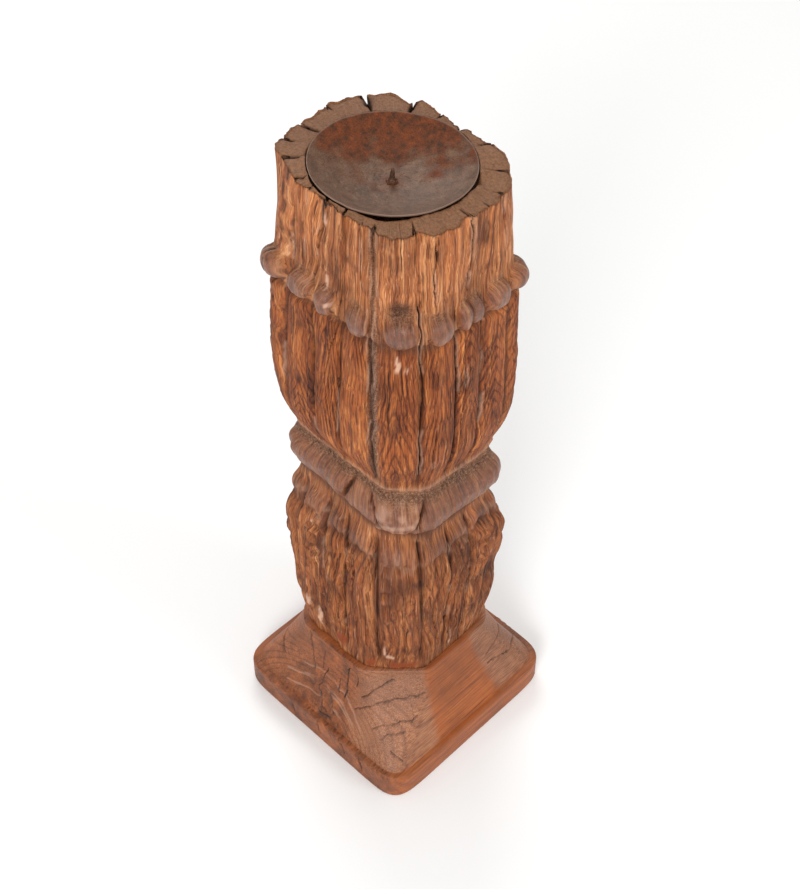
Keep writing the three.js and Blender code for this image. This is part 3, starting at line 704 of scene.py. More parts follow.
# Lower capital: lobes that curl over under the collar, long bowed grooves, ringed eyes and small studs.
lobe_side = np.cos(math.pi * np.clip(np.abs(from_middle), 0, 1) / 2)
lobe_line = 268.0 + 7.0 * lobe_side + 3.0 * noise(leaf_number * 3.7, 1.0, 0.0, 24)
curl = np.exp(-(((shape_z - lobe_line + 6) / 9.0) ** 2)) * lobe_side ** 0.7
under_curl = np.exp(-(((shape_z - lobe_line + 17) / 3.5) ** 2)) * lobe_side
far = far + 3.4 * curl - 2.4 * under_curl
EYES = [
    (-118.0, 229, 7.0, 15.0), (-81.5, 226, 6.5, 14.0), (150.0, 232, 7.0, 15.0), (112.0, 226, 6.0, 13.0),
    (24.0, 224, 5.5, 12.0), (199.0, 228, 7.0, 15.0)
]
# Painted shade in the hollows of the eyes' rings and in the grooves round the studs.
eye_groove_shade = np.zeros_like(theta)
for bearing_at, centre, half_across, half_up in EYES:
    oval = np.hypot(arc(bearing_at) / half_across, (wz - centre) / half_up)
    inside = 1 - ramp_up(oval, 0.9, 2.2)
    far = far + inside * (1.7 * np.cos(2 * math.pi * oval * 1.25) + 1.4 * (1 - np.minimum(oval, 1)))
    eye_groove_shade = np.maximum(eye_groove_shade, inside * np.maximum(0, -np.cos(2 * math.pi * oval * 1.25)))
STUDS = [
    (-51, 232, 4.5, 5.5), (-51, 214, 4.2, 6.0), (-50.5, 191, 5.0, 9.0), (-37, 205, 3.6, 7.0),
    (-92, 200, 3.5, 6.0), (131, 220, 4.5, 6.0), (133, 200, 4.2, 6.0), (8, 206, 3.5, 7.0), (54, 214, 4.0, 6.0),
    (172, 204, 4.0, 6.0), (-142, 212, 4.0, 7.0)
]
for bearing_at, centre, half_across, half_up in STUDS:
    bump_at = np.exp(-((arc(bearing_at) / half_across) ** 2) - (((wz - centre) / half_up) ** 2))
    rim = np.exp(-(((np.hypot(arc(bearing_at) / half_across, (wz - centre) / half_up) - 1.5) / 0.35) ** 2))
    far = far + 3.0 * bump_at - 1.1 * rim
    eye_groove_shade = np.maximum(eye_groove_shade, 0.7 * rim)
swing = np.where(leaf_number % 2 == 0, 1.0, -1.0)
bow = share * 4.0 + 0.9 * swing * np.sin((wz - 105) / 150 * math.pi) + 0.35 * np.sin(
    (wz - 105) / 62 * math.pi + leaf_number
)
flute = np.cos(2 * math.pi * bow)
far = far + 1.5 * flute * lower_leaf * ramp_up(wz, 112, 135) * (1 - ramp_up(shape_z, 250, 266))
arch = np.where(shape_z < 300, bow * 1.5 + 0.25 * wobble, arch)
for bearing_at, centre, half_across, half_up in EYES:
    oval = np.hypot(arc(bearing_at) / half_across, (wz - centre) / half_up)
    arch = np.where(oval < 1.8, oval * 2.2, arch)
crust_patch = np.exp(-(((shape_z - 264) / 17.0) ** 2)) * ramp_up(
    noise(ux * 5, uy * 5, wz / 22, 54), -0.4, 0.3
)
crust = np.exp(-((noise(gx / 8, gy / 8, wz / 9, 55) / 0.09) ** 2)) * crust_patch
far = far + 0.7 * crust
hollow = ramp_up(noise(ux * 4.5, uy * 4.5, wz / 26, 25), 0.25, 0.7) * lower_leaf
far = far - 1.6 * hollow

# The gap over the collar: a thin fillet, then a crumbled groove.
gap_line = np.exp(-(((shape_z - 335) / 5.0) ** 2))
crumble = 0.6 + 0.4 * noise(ux * 16, uy * 16, wz / 4, 26)
far = far - 2.0 * gap_line * crumble
crumb_band = np.exp(-(((shape_z - 336) / 6.0) ** 2))
far = far + 1.2 * crumb_band * noise(ux * 38, uy * 38, wz / 1.9, 51)
fillet = np.exp(-(((shape_z - 344) / 1.6) ** 2))
far = far + 1.3 * fillet
# Painted shadow in a band just under the collar's roll.
under_collar_shadow = np.exp(-(((shape_z - 291) / 5.0) ** 2))

# Collar: each cut rounds off the ends of the rolls beside it and leaves a slot, darkened with painted shade.
roll = np.exp(-(((shape_z - COLLAR_Z) / 17.0) ** 4))
cuts = np.array(COLLAR_CUTS)
piece = np.searchsorted(cuts, (degrees + 141.0) % 360.0 - 141.0)
stand_out = np.array([0.0, 0.6, -0.4, 4.2, 0.4, 1.0, -0.6, 1.8, 0.2])[piece]
far = far + roll * stand_out
front_roll = roll * ramp_up(degrees, -60, -55) * (1 - ramp_up(degrees, -32, -28))
wz = wz - 3.5 * front_roll
slot_shade = np.zeros_like(theta)
for number, cut in enumerate(COLLAR_CUTS):
    slanted = arc(cut) - (shape_z - COLLAR_Z) * (0.45 if number % 2 else -0.5)
    far = far - roll * (6.5 * np.exp(-((slanted / 1.5) ** 2)) + 3.6 * np.exp(-((slanted / 7.0) ** 2)))
    slot_shade = np.maximum(slot_shade, roll * np.exp(-((slanted / 1.6) ** 2)))
far = far + roll * (
    0.5 * np.cos(
        theta * 62 + 3 * noise(ux * 4, uy * 4, wz / 30, 27)
    ) + 1.4 * noise(ux * 5, uy * 5, wz / 18, 28)
)

# Beads: each is a half-round knob, h * sqrt(1 - across^2 - up^2), that the shaft flares out to meet from above
# and that tucks back sharply under its foot.
bead_mask = np.zeros_like(theta)
bead_crown = np.zeros_like(theta)
knobs = np.zeros_like(theta)
rise = shape_z - BEAD_Z
for bearing_at, half_across, stand in BEADS:
    d = arc(bearing_at) / half_across
    up = (rise + 1.0) / 11.5
    knob = np.sqrt(np.maximum(0, 1 - np.abs(d) ** 2.2 - np.abs(up) ** 2.2))
    flare = 0.14 * np.maximum(0, 1 - np.abs(d) ** 2) * (1 - ramp_up(rise, 3.0, 20.0)) * ramp_up(rise, -10.0, -4.0)
    bead_crown = np.maximum(bead_crown, np.maximum(0, 1 - d ** 2) * np.exp(-(((rise - 12.0) / 4.0) ** 2)))
    bead_mask = np.maximum(bead_mask, knob)
    rough_knob = 1.0 + 0.10 * noise(ux * 14, uy * 14, wz / 8, 29)
    knobs = np.maximum(knobs, stand * np.maximum(knob * rough_knob, flare))
far = far + knobs + 0.8 * bead_crown * noise(ux * 34, uy * 34, wz / 2.4, 52)
crevice = np.exp(-(((rise + 14.2) / 2.2) ** 2)) * (0.7 + 0.3 * noise(ux * 14, uy * 14, 0.0, 30))
far = far - 4.0 * crevice
wz = wz - 2.4 * bead_mask * (1 - ramp_up(rise, -11, 0))
hollow_top = np.exp(-((arc(-41.0) / 9.0) ** 2) - (((wz - 534) / 6.0) ** 2))
far = far - 4.5 * hollow_top * (0.7 + 0.5 * noise(ux * 20, uy * 20, wz / 3, 31))

# Weathering: ridges of hard grain 3 to 6 mm apart on the shaft, finer ones all over, and a soft unevenness.
shaft = ramp_up(shape_z, 520, 545)
ridges = noise(gx / 3.4, gy / 3.4, wz / 60, 32) + 0.6 * noise(gx / 1.7, gy / 1.7, wz / 30, 33)
far = far + ridges * (0.45 + 0.65 * shaft)
far = far + 1.8 * noise(ux * 3, uy * 3, wz / 45, 34) + 0.7 * noise(gx / 9, gy / 9, wz / 16, 35)
lumps = noise(gx / 11, gy / 11, wz / 70, 36) + 0.5 * noise(gx / 5, gy / 5, wz / 40, 37)
far = far + 2.4 * lumps * ramp_up(shape_z, 535, 600)

# Cracks follow the lines of the grain; their ends fade and their sides are ragged. Their near-black colour is painted
# shade.
crack_shade_amount = np.zeros_like(theta)
crack_lip = np.zeros_like(theta)
for number, (line, top, foot, depth, half_width) in enumerate(CRACKS):
    wander = 1.9 * noise(wz / 17, number * 2.7, 0.0, 38) + 0.7 * noise(wz / 5, number * 3.3, 0.0, 39)
    d = (theta - np.radians(line_at[line])[:, None]) * 78.0
    d = (d + 78 * math.pi) % (156 * math.pi) - 78 * math.pi + wander
    run = ramp_up(heights[:, None], foot, foot + 14) * (
        1 - ramp_up(heights[:, None], top - 8, top) * (top < 600)
    )
    wide = 0.52 * half_width * (0.55 + 0.45 * run) * (1 + 0.35 * noise(wz / 9, number * 1.9, 0.0, 40))
    opening = np.maximum(0.0, 1.0 - np.abs(d) / np.maximum(wide, 0.55)) * run
    far = far - depth * opening ** 0.8
    crack_shade_amount = np.maximum(
        crack_shade_amount, run * np.exp(-((d / (wide * 0.85)) ** 2)) * min(1.0, (depth / 4.5) ** 1.4)
    )
    crack_lip = np.maximum(
        crack_lip,
        run * np.exp(-(((np.abs(d) - wide * 1.9) / 0.7) ** 2)) * (noise(wz / 18, number, 0, 41) > 0.1)
    )

# The top edge follows the sawn plane, which falls a little towards the right corner.
def sawn(x, y, z):
    """Turns points given square to the sawn top, with z = 0 in its plane, to where the top really lies: a
    turn by TOP_TILT about the level line that runs from the back corner to the front one."""
    turn = Matrix.Rotation(TOP_TILT, 3, Vector((-1.0, 1.0, 0.0)).normalized())
    points = np.stack([x, y, z], -1) @ np.array(turn).T
    return points + np.array([0.0, 0.0, POST_TOP])


far = np.where(heights[:, None] > 580, np.maximum(far, 60.4), far)
plane_fall = -math.tan(TOP_TILT) * (ux + uy) * DIAGONAL * far
wz = wz + plane_fall * ramp_up(heights[:, None], 520, 602)
wall = np.stack([far * ux, far * uy, wz], -1)

# Rings over the sawn top, down the turned recess for the dish and into the hole for its spike.
RECESS_RADIUS = 59.0
RECESS_FLOOR = -16.2
HOLE_RADIUS = 3.5
HOLE_FLOOR = -40.5
edge_theta = theta[-1]
edge_far = far[-1]
top_dark, top_rings, top_split_shade = [], [], []
steps = np.array([0.03, 0.1, 0.2, 0.32, 0.45, 0.58, 0.7, 0.82, 0.92, 0.985])
for t in steps:
    start, turn_to = edge_far, edge_theta
    chip = 1.3 * ramp_up(noise(np.cos(turn_to) * 5, np.sin(turn_to) * 5, 0.0, 42), 0.1, 0.9)
    chip = chip + 3.6 * np.exp(
        -(((np.degrees(turn_to) - 30) / 4.5) ** 2)
    ) + 1.2 * np.exp(-(((np.degrees(turn_to) + 48) / 16) ** 2))
    r = start * (1 - t) + (RECESS_RADIUS + chip) * t
    x, y = r * np.cos(turn_to), r * np.sin(turn_to)
    depth = -0.4 * (t < 0.05) + 0.45 * noise(x / 3.5, y / 3.5, 0.0, 43) + 0.7 * noise(x / 15, y / 15, 0.0, 44)
    depth = depth - 1.6 * np.exp(-((t / 0.09) ** 2)) * (0.6 + 0.6 * noise(x / 6, y / 6, 0.0, 45))
    bare_front = np.exp(-(((np.degrees(turn_to) + 47) / 20) ** 2))
    side_hole = np.exp(-(((np.degrees(turn_to) - 30) / 4.5) ** 2))
    depth = depth + (1.7 - 1.4 * bare_front - 2.5 * side_hole) * np.exp(-(((1 - t) / 0.35) ** 2))
    # Painted shade down the splits that run in from the sawn top's edge.
    dark = np.zeros_like(x)
    for bearing_at, length, half_width in TOP_SPLITS:
        turn_by = np.radians(bearing_at)
        inward = start - r
        d = (turn_to - turn_by + math.pi) % (2 * math.pi) - math.pi
        d = d * r + 1.4 * noise(inward / 6, bearing_at * 0.31, 0.0, 46)
        run = 1 - ramp_up(inward, length * 0.6, length)
        wide = half_width * (0.35 + 0.65 * run)
        opening = np.maximum(0.0, 1 - np.abs(d) / wide) * run
        depth = depth - 5.0 * opening
        dark = np.maximum(dark, np.exp(-((d / wide) ** 2)) * run)
    top_rings.append(sawn(x, y, np.minimum(depth, 2.0)))
    top_split_shade.append(dark)
for r, z in [
    (59.4, -2.5), (59.8, -8), (59.8, -14), (59.3, -16.2), (45, -16.2), (25, -16.2), (8, -16.2), (3.6, -16.3),
    (3.5, -28), (3.5, -40.5)
]:
    top_rings.append(sawn(r * np.cos(edge_theta), r * np.sin(edge_theta), np.full_like(edge_theta, float(z))))
    top_split_shade.append(np.zeros_like(edge_theta))
foot_rings = [
    np.stack(
        [wall[0, :, 0] * t, wall[0, :, 1] * t, np.full_like(edge_theta, PLINTH_TOP + 0.15)], -1
    ) for t in (0.25, 0.6, 0.92)
]
skin = np.concatenate([np.array(foot_rings), wall, np.array(top_rings)])


def all_rows(values, foot=0.0, top=0.0):
    """The wall's values with rows for the foot below them and for the sawn top and recess above them."""
    low = np.full((len(foot_rings), values.shape[1]), float(foot))
    high = np.full((len(top_rings), values.shape[1]), float(top)) if np.isscalar(top) else np.array(top)
    return np.concatenate([low, values, high])


crumbs = np.clip(
    1.1 * crumb_band + 0.55 * bead_crown + 0.9 * hollow_top + 0.7 * np.exp(
        -((np.degrees(theta) + 57.5) / 2.6) ** 2
    ) * upper_leaf
    + 0.7 * np.exp(-((arc(-56.0) / 3.4) ** 2)) * ramp_up(wz, 340, 380) + 0.35 * crevice, 0, 1)
# Painted shade: darkening in the leaf grooves, the crevice under the beads, the gap over the collar and the band under
# it, the hollows, under the curled lobes and in the eyes' ring grooves.
cavity_shade = np.clip(
    0.9 * groove * (upper_leaf + lower_leaf) * 0.8 + 0.9 * crevice + 0.25 * gap_line + 0.8 * under_collar_shadow + 0.8 * hollow_top + 0.5 * under_curl + 0.6 * hollow + eye_groove_shade * 0.5,
    0, 1
)
# Paler patches on the front piece of the collar: partly wear, partly painted highlight.
front_wear_and_highlight = 0.4 * front_roll * ramp_up(noise(gx / 5, gy / 5, wz / 5, 53), -0.3, 0.5)
paleness = np.clip(crack_lip * 0.35 + 0.3 * fillet + front_wear_and_highlight + 0.24 * crust, 0, 1)
CHIPS = [
    (-93, 534, 1.6, 7), (-88, 519, 2.5, 2), (-43, 488, 2.0, 6), (-38, 484, 1.6, 4), (-78, 141, 2.2, 7), (-53, 130, 1.6, 12),
    (-48, 119, 5.0, 2.5), (-116, 122, 2.0, 12), (-121, 246, 2.5, 3), (4, 110, 1.6, 5), (148, 140, 2.5, 8), (100, 130, 2.2, 8),
    (182, 534, 1.8, 5), (-125, 134, 1.8, 9), (-94, 586, 2.2, 4),
]
for bearing_at, centre, half_across, half_up in CHIPS:
    oval = np.hypot(
        arc(bearing_at) / half_across, (wz - centre) / half_up
    ) + 0.9 * noise(gx / 1.5, gy / 1.5, wz / 4, 47)
    paleness = np.maximum(paleness, 0.85 * (1 - ramp_up(oval, 0.6, 1.2)))
bleaching = ramp_up(shape_z, 515, 560) * (0.85 + 0.3 * noise(gx / 6, gy / 6, wz / 60, 49))
strip = np.searchsorted(rest_bearing, columns)
strip_tone = 0.5 + 0.5 * noise(strip * 2.37, 0.5, 0.5, 56)[None, :] + 0.0 * theta
red_holes = np.zeros_like(theta)
for bearing_at, centre, half_across, half_up in [
    (-95, 113, 10, 10), (-40, 104, 20, 6), (120, 108, 10, 8), (-64, 106, 6, 6)
]:
    oval = np.hypot(
        arc(bearing_at) / half_across, (wz - centre) / half_up
    ) + 0.3 * noise(gx / 5, gy / 5, wz / 5, 48)
    red_holes = np.maximum(red_holes, 1 - ramp_up(oval, 0.6, 1.1))

post_wood, tree, shader = new_material("weathered_hardwood")
# Old carved hardwood, once oiled, rained on for years: soft early wood has worn away between ridges of hard
# late wood, so it looks streaked along the grain and pale on the ridges; the near-black in the cracks is painted
# shade.
place = node(
    tree, "VectorMath", {0: node(tree, "TexCoord").outputs["Object"], "Scale": 1000.0}, operation="SCALE"
)
grain = node(tree, "Attribute", attribute_name="grain").outputs["Vector"]
painted_crack_shade = node(tree, "Attribute", attribute_name="painted_crack_shade").outputs["Fac"]
shade = node(tree, "Attribute", attribute_name="cavity_shade").outputs["Fac"]
pale = node(tree, "Attribute", attribute_name="pale").outputs["Fac"]
sawn_end = node(tree, "Attribute", attribute_name="sawn").outputs["Fac"]
arch_phase = node(tree, "Attribute", attribute_name="arch").outputs["Fac"]
leafy = node(tree, "Attribute", attribute_name="leafy").outputs["Fac"]
leaf_share = node(tree, "Attribute", attribute_name="leaf").outputs["Fac"]
crumb = node(tree, "Attribute", attribute_name="crumbs").outputs["Fac"]
polish = node(tree, "Attribute", attribute_name="polish").outputs["Fac"]
red = node(tree, "Attribute", attribute_name="red").outputs["Fac"]
bleach = node(tree, "Attribute", attribute_name="bleach").outputs["Fac"]
# Streaks of late wood 2.5 mm apart and fibres 0.8 mm apart, both many times longer than wide.
bend = node(tree, "TexNoise", {"Vector": grain, "Scale": 0.03, "Detail": 2.0})
bent = node(tree, "VectorMath", {0: bend.outputs["Color"], "Scale": 7.0}, operation="SCALE")
bent = node(tree, "VectorMath", {0: bent, 1: grain}, operation="ADD")
streak_place = node(tree, "VectorMath", {0: bent, 1: (0.34, 0.34, 0.007)}, operation="MULTIPLY")
streak = node(tree, "TexNoise", {"Vector": streak_place, "Scale": 1.0, "Detail": 4.0, "Roughness": 0.62})
fibre_place = node(tree, "VectorMath", {0: bent, 1: (1.15, 1.15, 0.016)}, operation="MULTIPLY")
fibre = node(tree, "TexNoise", {"Vector": fibre_place, "Scale": 1.0, "Detail": 3.0, "Roughness": 0.7})
seam_place = node(tree, "VectorMath", {0: bent, 1: (0.6, 0.6, 0.010)}, operation="MULTIPLY")
seam = node(tree, "TexNoise", {"Vector": seam_place, "Scale": 1.0, "Detail": 2.0, "Roughness": 0.5})
# Painted highlight: pale flecks #e2b596 along the fibres stand in for glints of light on the ridges.
highlight_fleck_place = node(tree, "VectorMath", {0: bent, 1: (1.0, 1.0, 0.045)}, operation="MULTIPLY")
highlight_fleck = node(tree, "TexNoise", {"Vector": highlight_fleck_place, "Scale": 1.0, "Detail": 2.0, "Roughness": 0.6})
blot = node(tree, "TexNoise", {"Vector": place, "Scale": 0.03, "Detail": 4.0, "Roughness": 0.62})
flesh = node(
    tree, "ValToRGB", {"Fac": streak},
    [(0.3, "#764426"), (0.44, "#a1633b"), (0.56, "#ba7c4c"), (0.7, "#dba575")]
)
thread = node(tree, "ValToRGB", {"Fac": fibre}, [(0.36, "#5a4334"), (0.47, "#d8c9bc"), (0.58, "#ffffff")])
woven = node(tree, "Mix", {0: 0.78, 6: flesh, 7: thread}, data_type="RGBA", blend_type="MULTIPLY")
seam_colour = node(tree, "ValToRGB", {"Fac": seam}, [(0.29, "#3c2517"), (0.38, "#ffffff")])
woven = node(
    tree, "Mix", {0: 0.72, 6: woven.outputs[2], 7: seam_colour}, data_type="RGBA", blend_type="MULTIPLY"
)
highlight_fleck_amount = node(tree, "MapRange", {0: highlight_fleck, 1: 0.60, 2: 0.72, 3: 0.0, 4: 0.5})
highlight_flecked = node(tree, "Mix", {0: highlight_fleck_amount, 6: woven.outputs[2], 7: "#e2b596"}, data_type="RGBA")
tone = node(tree, "ValToRGB", {"Fac": blot}, [(0.33, "#a08b7e"), (0.5, "#e8dacf"), (0.68, "#fff6ee")])
toned = node(tree, "Mix", {0: 0.75, 6: highlight_flecked.outputs[2], 7: tone}, data_type="RGBA", blend_type="MULTIPLY")
# Veins: a dark line in each hollow of the leaf's arrow heads, with a pale ridge beside it.
vein_shift = node(tree, "Math", {0: streak, 1: 0.7, 2: arch_phase}, operation="MULTIPLY_ADD")
vein_part = node(tree, "Math", {0: vein_shift}, operation="FRACT")
vein_colour = node(
    tree, "ValToRGB", {"Fac": vein_part},
    [
        (0.0, "#ffffff"), (0.32, "#f4e8da"), (0.46, "#74503c"), (0.53, "#74503c"), (0.68, "#f4e8da"),
        (0.9, "#ffffff")
    ]
)
vein_amount = node(tree, "Math", {0: leafy, 1: 0.66}, operation="MULTIPLY")
veined = node(
    tree, "Mix", {0: vein_amount, 6: toned.outputs[2], 7: vein_colour}, data_type="RGBA",
    blend_type="MULTIPLY"
)
veined = node(
    tree, "Mix", {0: leaf_share, 6: veined.outputs[2], 7: "#ffe5bb"}, data_type="RGBA", blend_type="MULTIPLY"
)
# The plain shaft is the most bleached; beads and rolls have been handled and are greyer, with a mauve cast.
gain = node(tree, "MapRange", {0: bleach, 3: 1.0, 4: 1.3})
strip = node(tree, "Attribute", attribute_name="strip").outputs["Fac"]
strip_gain = node(tree, "MapRange", {0: strip, 1: 0.2, 2: 0.8, 3: 0.82, 4: 1.16})
gain = node(tree, "Math", {0: gain, 1: strip_gain}, operation="MULTIPLY")
brighter = node(tree, "VectorMath", {0: veined.outputs[2], "Scale": gain}, operation="SCALE")
handled_amount = node(tree, "Math", {0: polish, 1: 0.72}, operation="MULTIPLY")
mottle = node(tree, "TexNoise", {"Vector": place, "Scale": 0.22, "Detail": 5.0, "Roughness": 0.7})
handled = node(
    tree, "ValToRGB", {"Fac": mottle},
    [(0.34, "#402012"), (0.48, "#613624"), (0.58, "#714634"), (0.7, "#916756")]
)
lined = node(tree, "Mix", {0: handled_amount, 6: brighter, 7: handled}, data_type="RGBA")
crumb_grit = node(tree, "TexNoise", {"Vector": place, "Scale": 0.6, "Detail": 5.0, "Roughness": 0.85})
crumb_colour = node(
    tree, "ValToRGB", {"Fac": crumb_grit}, [(0.4, "#20130b"), (0.48, "#6f4a33"), (0.62, "#bb9377")]
)
crumb_share = node(tree, "Math", {0: crumb, 1: 0.85}, operation="MULTIPLY")
lined = node(tree, "Mix", {0: crumb_share, 6: lined.outputs[2], 7: crumb_colour}, data_type="RGBA")
top_grit = node(tree, "TexNoise", {"Vector": place, "Scale": 0.55, "Detail": 4.0, "Roughness": 0.65})
top_colour = node(tree, "ValToRGB", {"Fac": top_grit}, [(0.3, "#6a4529"), (0.5, "#835a3e"), (0.7, "#936848")])
topped = node(tree, "Mix", {0: sawn_end, 6: lined.outputs[2], 7: top_colour}, data_type="RGBA")
# Painted shade: grooves, crevices and hollows are darkened towards #4a2513.
shaded = node(tree, "Mix", {0: shade, 6: topped.outputs[2], 7: "#4a2513"}, data_type="RGBA")
reddened = node(tree, "Mix", {0: red, 6: shaded.outputs[2], 7: "#8a3f1c"}, data_type="RGBA")
bared = node(tree, "Mix", {0: pale, 6: reddened.outputs[2], 7: "#d3a78c"}, data_type="RGBA")
# Painted shade: cracks, top splits and collar slots are darkened to #1f120a.
crack_shaded_wood = node(tree, "Mix", {0: painted_crack_shade, 6: bared.outputs[2], 7: "#1f120a"}, data_type="RGBA")
tree.links.new(crack_shaded_wood.outputs[2], shader.inputs["Base Color"])
gloss = node(tree, "MapRange", {0: polish, 3: 0.68, 4: 0.31})
sheen = node(tree, "MapRange", {0: polish, 3: 0.3, 4: 0.62})
tree.links.new(sheen.outputs[0], shader.inputs["Specular IOR Level"])
tree.links.new(gloss.outputs[0], shader.inputs["Roughness"])
vein_height = node(tree, "RGBToBW", {0: vein_colour})
vein_height = node(tree, "Math", {0: vein_height, 1: leafy}, operation="MULTIPLY")
seam_height = node(tree, "MapRange", {0: seam, 1: 0.27, 2: 0.36, 3: -0.35, 4: 0.0})
height = node(tree, "Math", {0: fibre, 1: 0.6, 2: seam_height}, operation="MULTIPLY_ADD")
height = node(tree, "Math", {0: streak, 1: 0.5, 2: height}, operation="MULTIPLY_ADD")
height = node(tree, "Math", {0: vein_height, 1: 0.55, 2: height}, operation="MULTIPLY_ADD")
crumb_height = node(tree, "Math", {0: crumb_grit, 1: crumb}, operation="MULTIPLY")
height = node(tree, "Math", {0: crumb_height, 1: 1.2, 2: height}, operation="MULTIPLY_ADD")
bump = node(tree, "Bump", {"Height": height, "Strength": 0.85, "Distance": 0.0015})
tree.links.new(bump.outputs[0], shader.inputs["Normal"])

post = ring_skin(
    "carved_post",
    skin,
    [(0, 0, PLINTH_TOP + 0.15), tuple(sawn(np.array(0.0), np.array(0.0), np.array(HOLE_FLOOR)))],
    {
        "painted_crack_shade": all_rows(np.maximum(crack_shade_amount, 0.85 * slot_shade), 0, np.array(top_split_shade)),
        "cavity_shade": all_rows(cavity_shade),
        "pale": all_rows(paleness),
        "sawn": all_rows(np.zeros_like(theta), 0, 1),
        "arch": all_rows(arch),
        "leafy": all_rows((upper_leaf + 0.8 * lower_leaf) * (0.25 + 0.75 * vein_patch)),
        "leaf": all_rows(np.clip(upper_leaf + 0.3 * lower_leaf, 0, 1)),
        "crumbs": all_rows(crumbs),
        "polish": all_rows(np.clip(bead_mask + 0.8 * roll + 0.5 * curl, 0, 1)),
        "red": all_rows(red_holes),
        "bleach": all_rows(bleaching),
        "strip": all_rows(strip_tone, 0.5, 0.5),
    },
    post_wood,
)
grain_layer = post.data.attributes.new("grain", "FLOAT_VECTOR", "POINT")
grain_points = np.stack([gx, gy, wz], -1)
ends = np.repeat(grain_points[-1:], len(top_rings), 0)
grain_points = np.concatenate(
    [np.repeat(grain_points[:1], len(foot_rings), 0), grain_points, ends]
).reshape(-1, 3)
grain_points = np.concatenate([grain_points, grain_points[:2]])
grain_layer.data.foreach_set("vector", grain_points.ravel().astype(np.float32))
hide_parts("pillar")
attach(post, "stand")

# ---------------------------------------------------------------------------
# Candle dish. A shallow bowl beaten from 1.5 mm iron sheet, rusted orange on
# its back half and worn to a grey-brown skin in front. It rests loose in the
# recess, so a dark gap shows round its rim.
# ---------------------------------------------------------------------------
DISH_RADIUS = 58.5
BOWL_SPHERE = 107.0
DISH_SHEET = 1.5
DISH_PROUD = 3.0
bowl_bottom = DISH_PROUD - (BOWL_SPHERE - math.sqrt(BOWL_SPHERE ** 2 - DISH_RADIUS ** 2))
turn = np.linspace(-math.pi, math.pi, 321)[None, :-1]


def bowl(r, sphere, bottom):
    """Height of a sphere's inside at a distance r from its middle: bottom + sphere - sqrt(sphere^2 - r^2)."""
    return bottom + sphere - np.sqrt(sphere ** 2 - r ** 2)


under = np.linspace(2.0, DISH_RADIUS - 0.5, 52)[:, None]
inside = np.linspace(DISH_RADIUS - 0.5, 1.6, 120)[:, None]
lip = np.array([[DISH_RADIUS - 0.1], [DISH_RADIUS], [DISH_RADIUS - 0.15]])
r = np.concatenate([under, lip, inside]) + 0.0 * turn
z = np.concatenate([
    bowl(under, BOWL_SPHERE + DISH_SHEET, bowl_bottom - DISH_SHEET),
    np.array([[1.7], [2.4], [2.9]]),
    bowl(inside, BOWL_SPHERE, bowl_bottom),
]) + 0.0 * turn
dx, dy = r * np.cos(turn), r * np.sin(turn)
beaten = 0.30 * noise(dx / 8, dy / 8, 0.0, 61) + 0.14 * noise(dx / 3.6, dy / 3.6, 1.0, 62) + 0.5 * noise(dx / 30, dy / 30, 2.0, 63)
wavy = 1 + 0.006 * noise(np.cos(turn) * 2.2, np.sin(turn) * 2.2, 3.0, 64) * (r / DISH_RADIUS) ** 4
pitted = -0.22 * ramp_up(noise(dx / 1.7, dy / 1.7, 4.0, 65), 0.35, 0.8)
dish_skin = sawn(
    dx * wavy, dy * wavy, z + beaten * ramp_up(r, 5, 12) + pitted * (np.arange(len(r)) > 55)[:, None]
)
behind = (dy - dx) * DIAGONAL / DISH_RADIUS
rust_amount = ramp_up(
    behind + 0.45 * noise(dx / 16, dy / 16, 5.0, 66) + 0.25 * noise(dx / 6, dy / 6, 6.0, 67), 0.0, 0.62
)
rust_amount = np.maximum(rust_amount, 0.75 * np.exp(-((r / 7.0) ** 2)))
rim_wear = np.exp(-((r - DISH_RADIUS) / 0.55) ** 2)

rusted_iron, tree, shader = new_material("rusted_iron")
# Sheet iron left to rust indoors: a dull brown oxide skin with orange bloom where damp has sat, dark scale
# round it, and bare grey-brown metal with a low gloss where it has been wiped.
place = node(
    tree, "VectorMath", {0: node(tree, "TexCoord").outputs["Object"], "Scale": 1000.0}, operation="SCALE"
)
rust = node(tree, "Attribute", attribute_name="rust").outputs["Fac"]
rim = node(tree, "Attribute", attribute_name="rim").outputs["Fac"]
# Rust blooms are 4 to 10 mm across with grains of 0.6 mm, and old wipe marks run across the dish.
bloom = node(tree, "TexNoise", {"Vector": place, "Scale": 0.16, "Detail": 6.0, "Roughness": 0.72})
grains = node(tree, "TexNoise", {"Vector": place, "Scale": 1.1, "Detail": 3.0, "Roughness": 0.7})
wipe_place = node(tree, "VectorMath", {0: place, 1: (0.10, 0.10, 0.05)}, operation="MULTIPLY")
wipe = node(tree, "TexNoise", {"Vector": wipe_place, "Scale": 1.0, "Detail": 4.0, "Roughness": 0.6})
skin_colour = node(tree, "ValToRGB", {"Fac": wipe}, [(0.3, "#5c3e28"), (0.5, "#725037"), (0.72, "#826045")])
rust_colour = node(
    tree, "ValToRGB", {"Fac": bloom},
    [(0.34, "#412408"), (0.46, "#63310b"), (0.56, "#77390d"), (0.7, "#8b4611")]
)
speckle = node(tree, "ValToRGB", {"Fac": grains}, [(0.36, "#a48f80"), (0.6, "#ffffff")])
mixed = node(tree, "Mix", {0: rust, 6: skin_colour, 7: rust_colour}, data_type="RGBA")
mixed = node(tree, "Mix", {0: 0.8, 6: mixed.outputs[2], 7: speckle}, data_type="RGBA", blend_type="MULTIPLY")
worn_rim = node(tree, "Math", {0: rim, 1: 0.7}, operation="MULTIPLY")
mixed = node(tree, "Mix", {0: worn_rim, 6: mixed.outputs[2], 7: "#94796a"}, data_type="RGBA")
tree.links.new(mixed.outputs[2], shader.inputs["Base Color"])
shader.inputs["Metallic"].default_value = 0.15
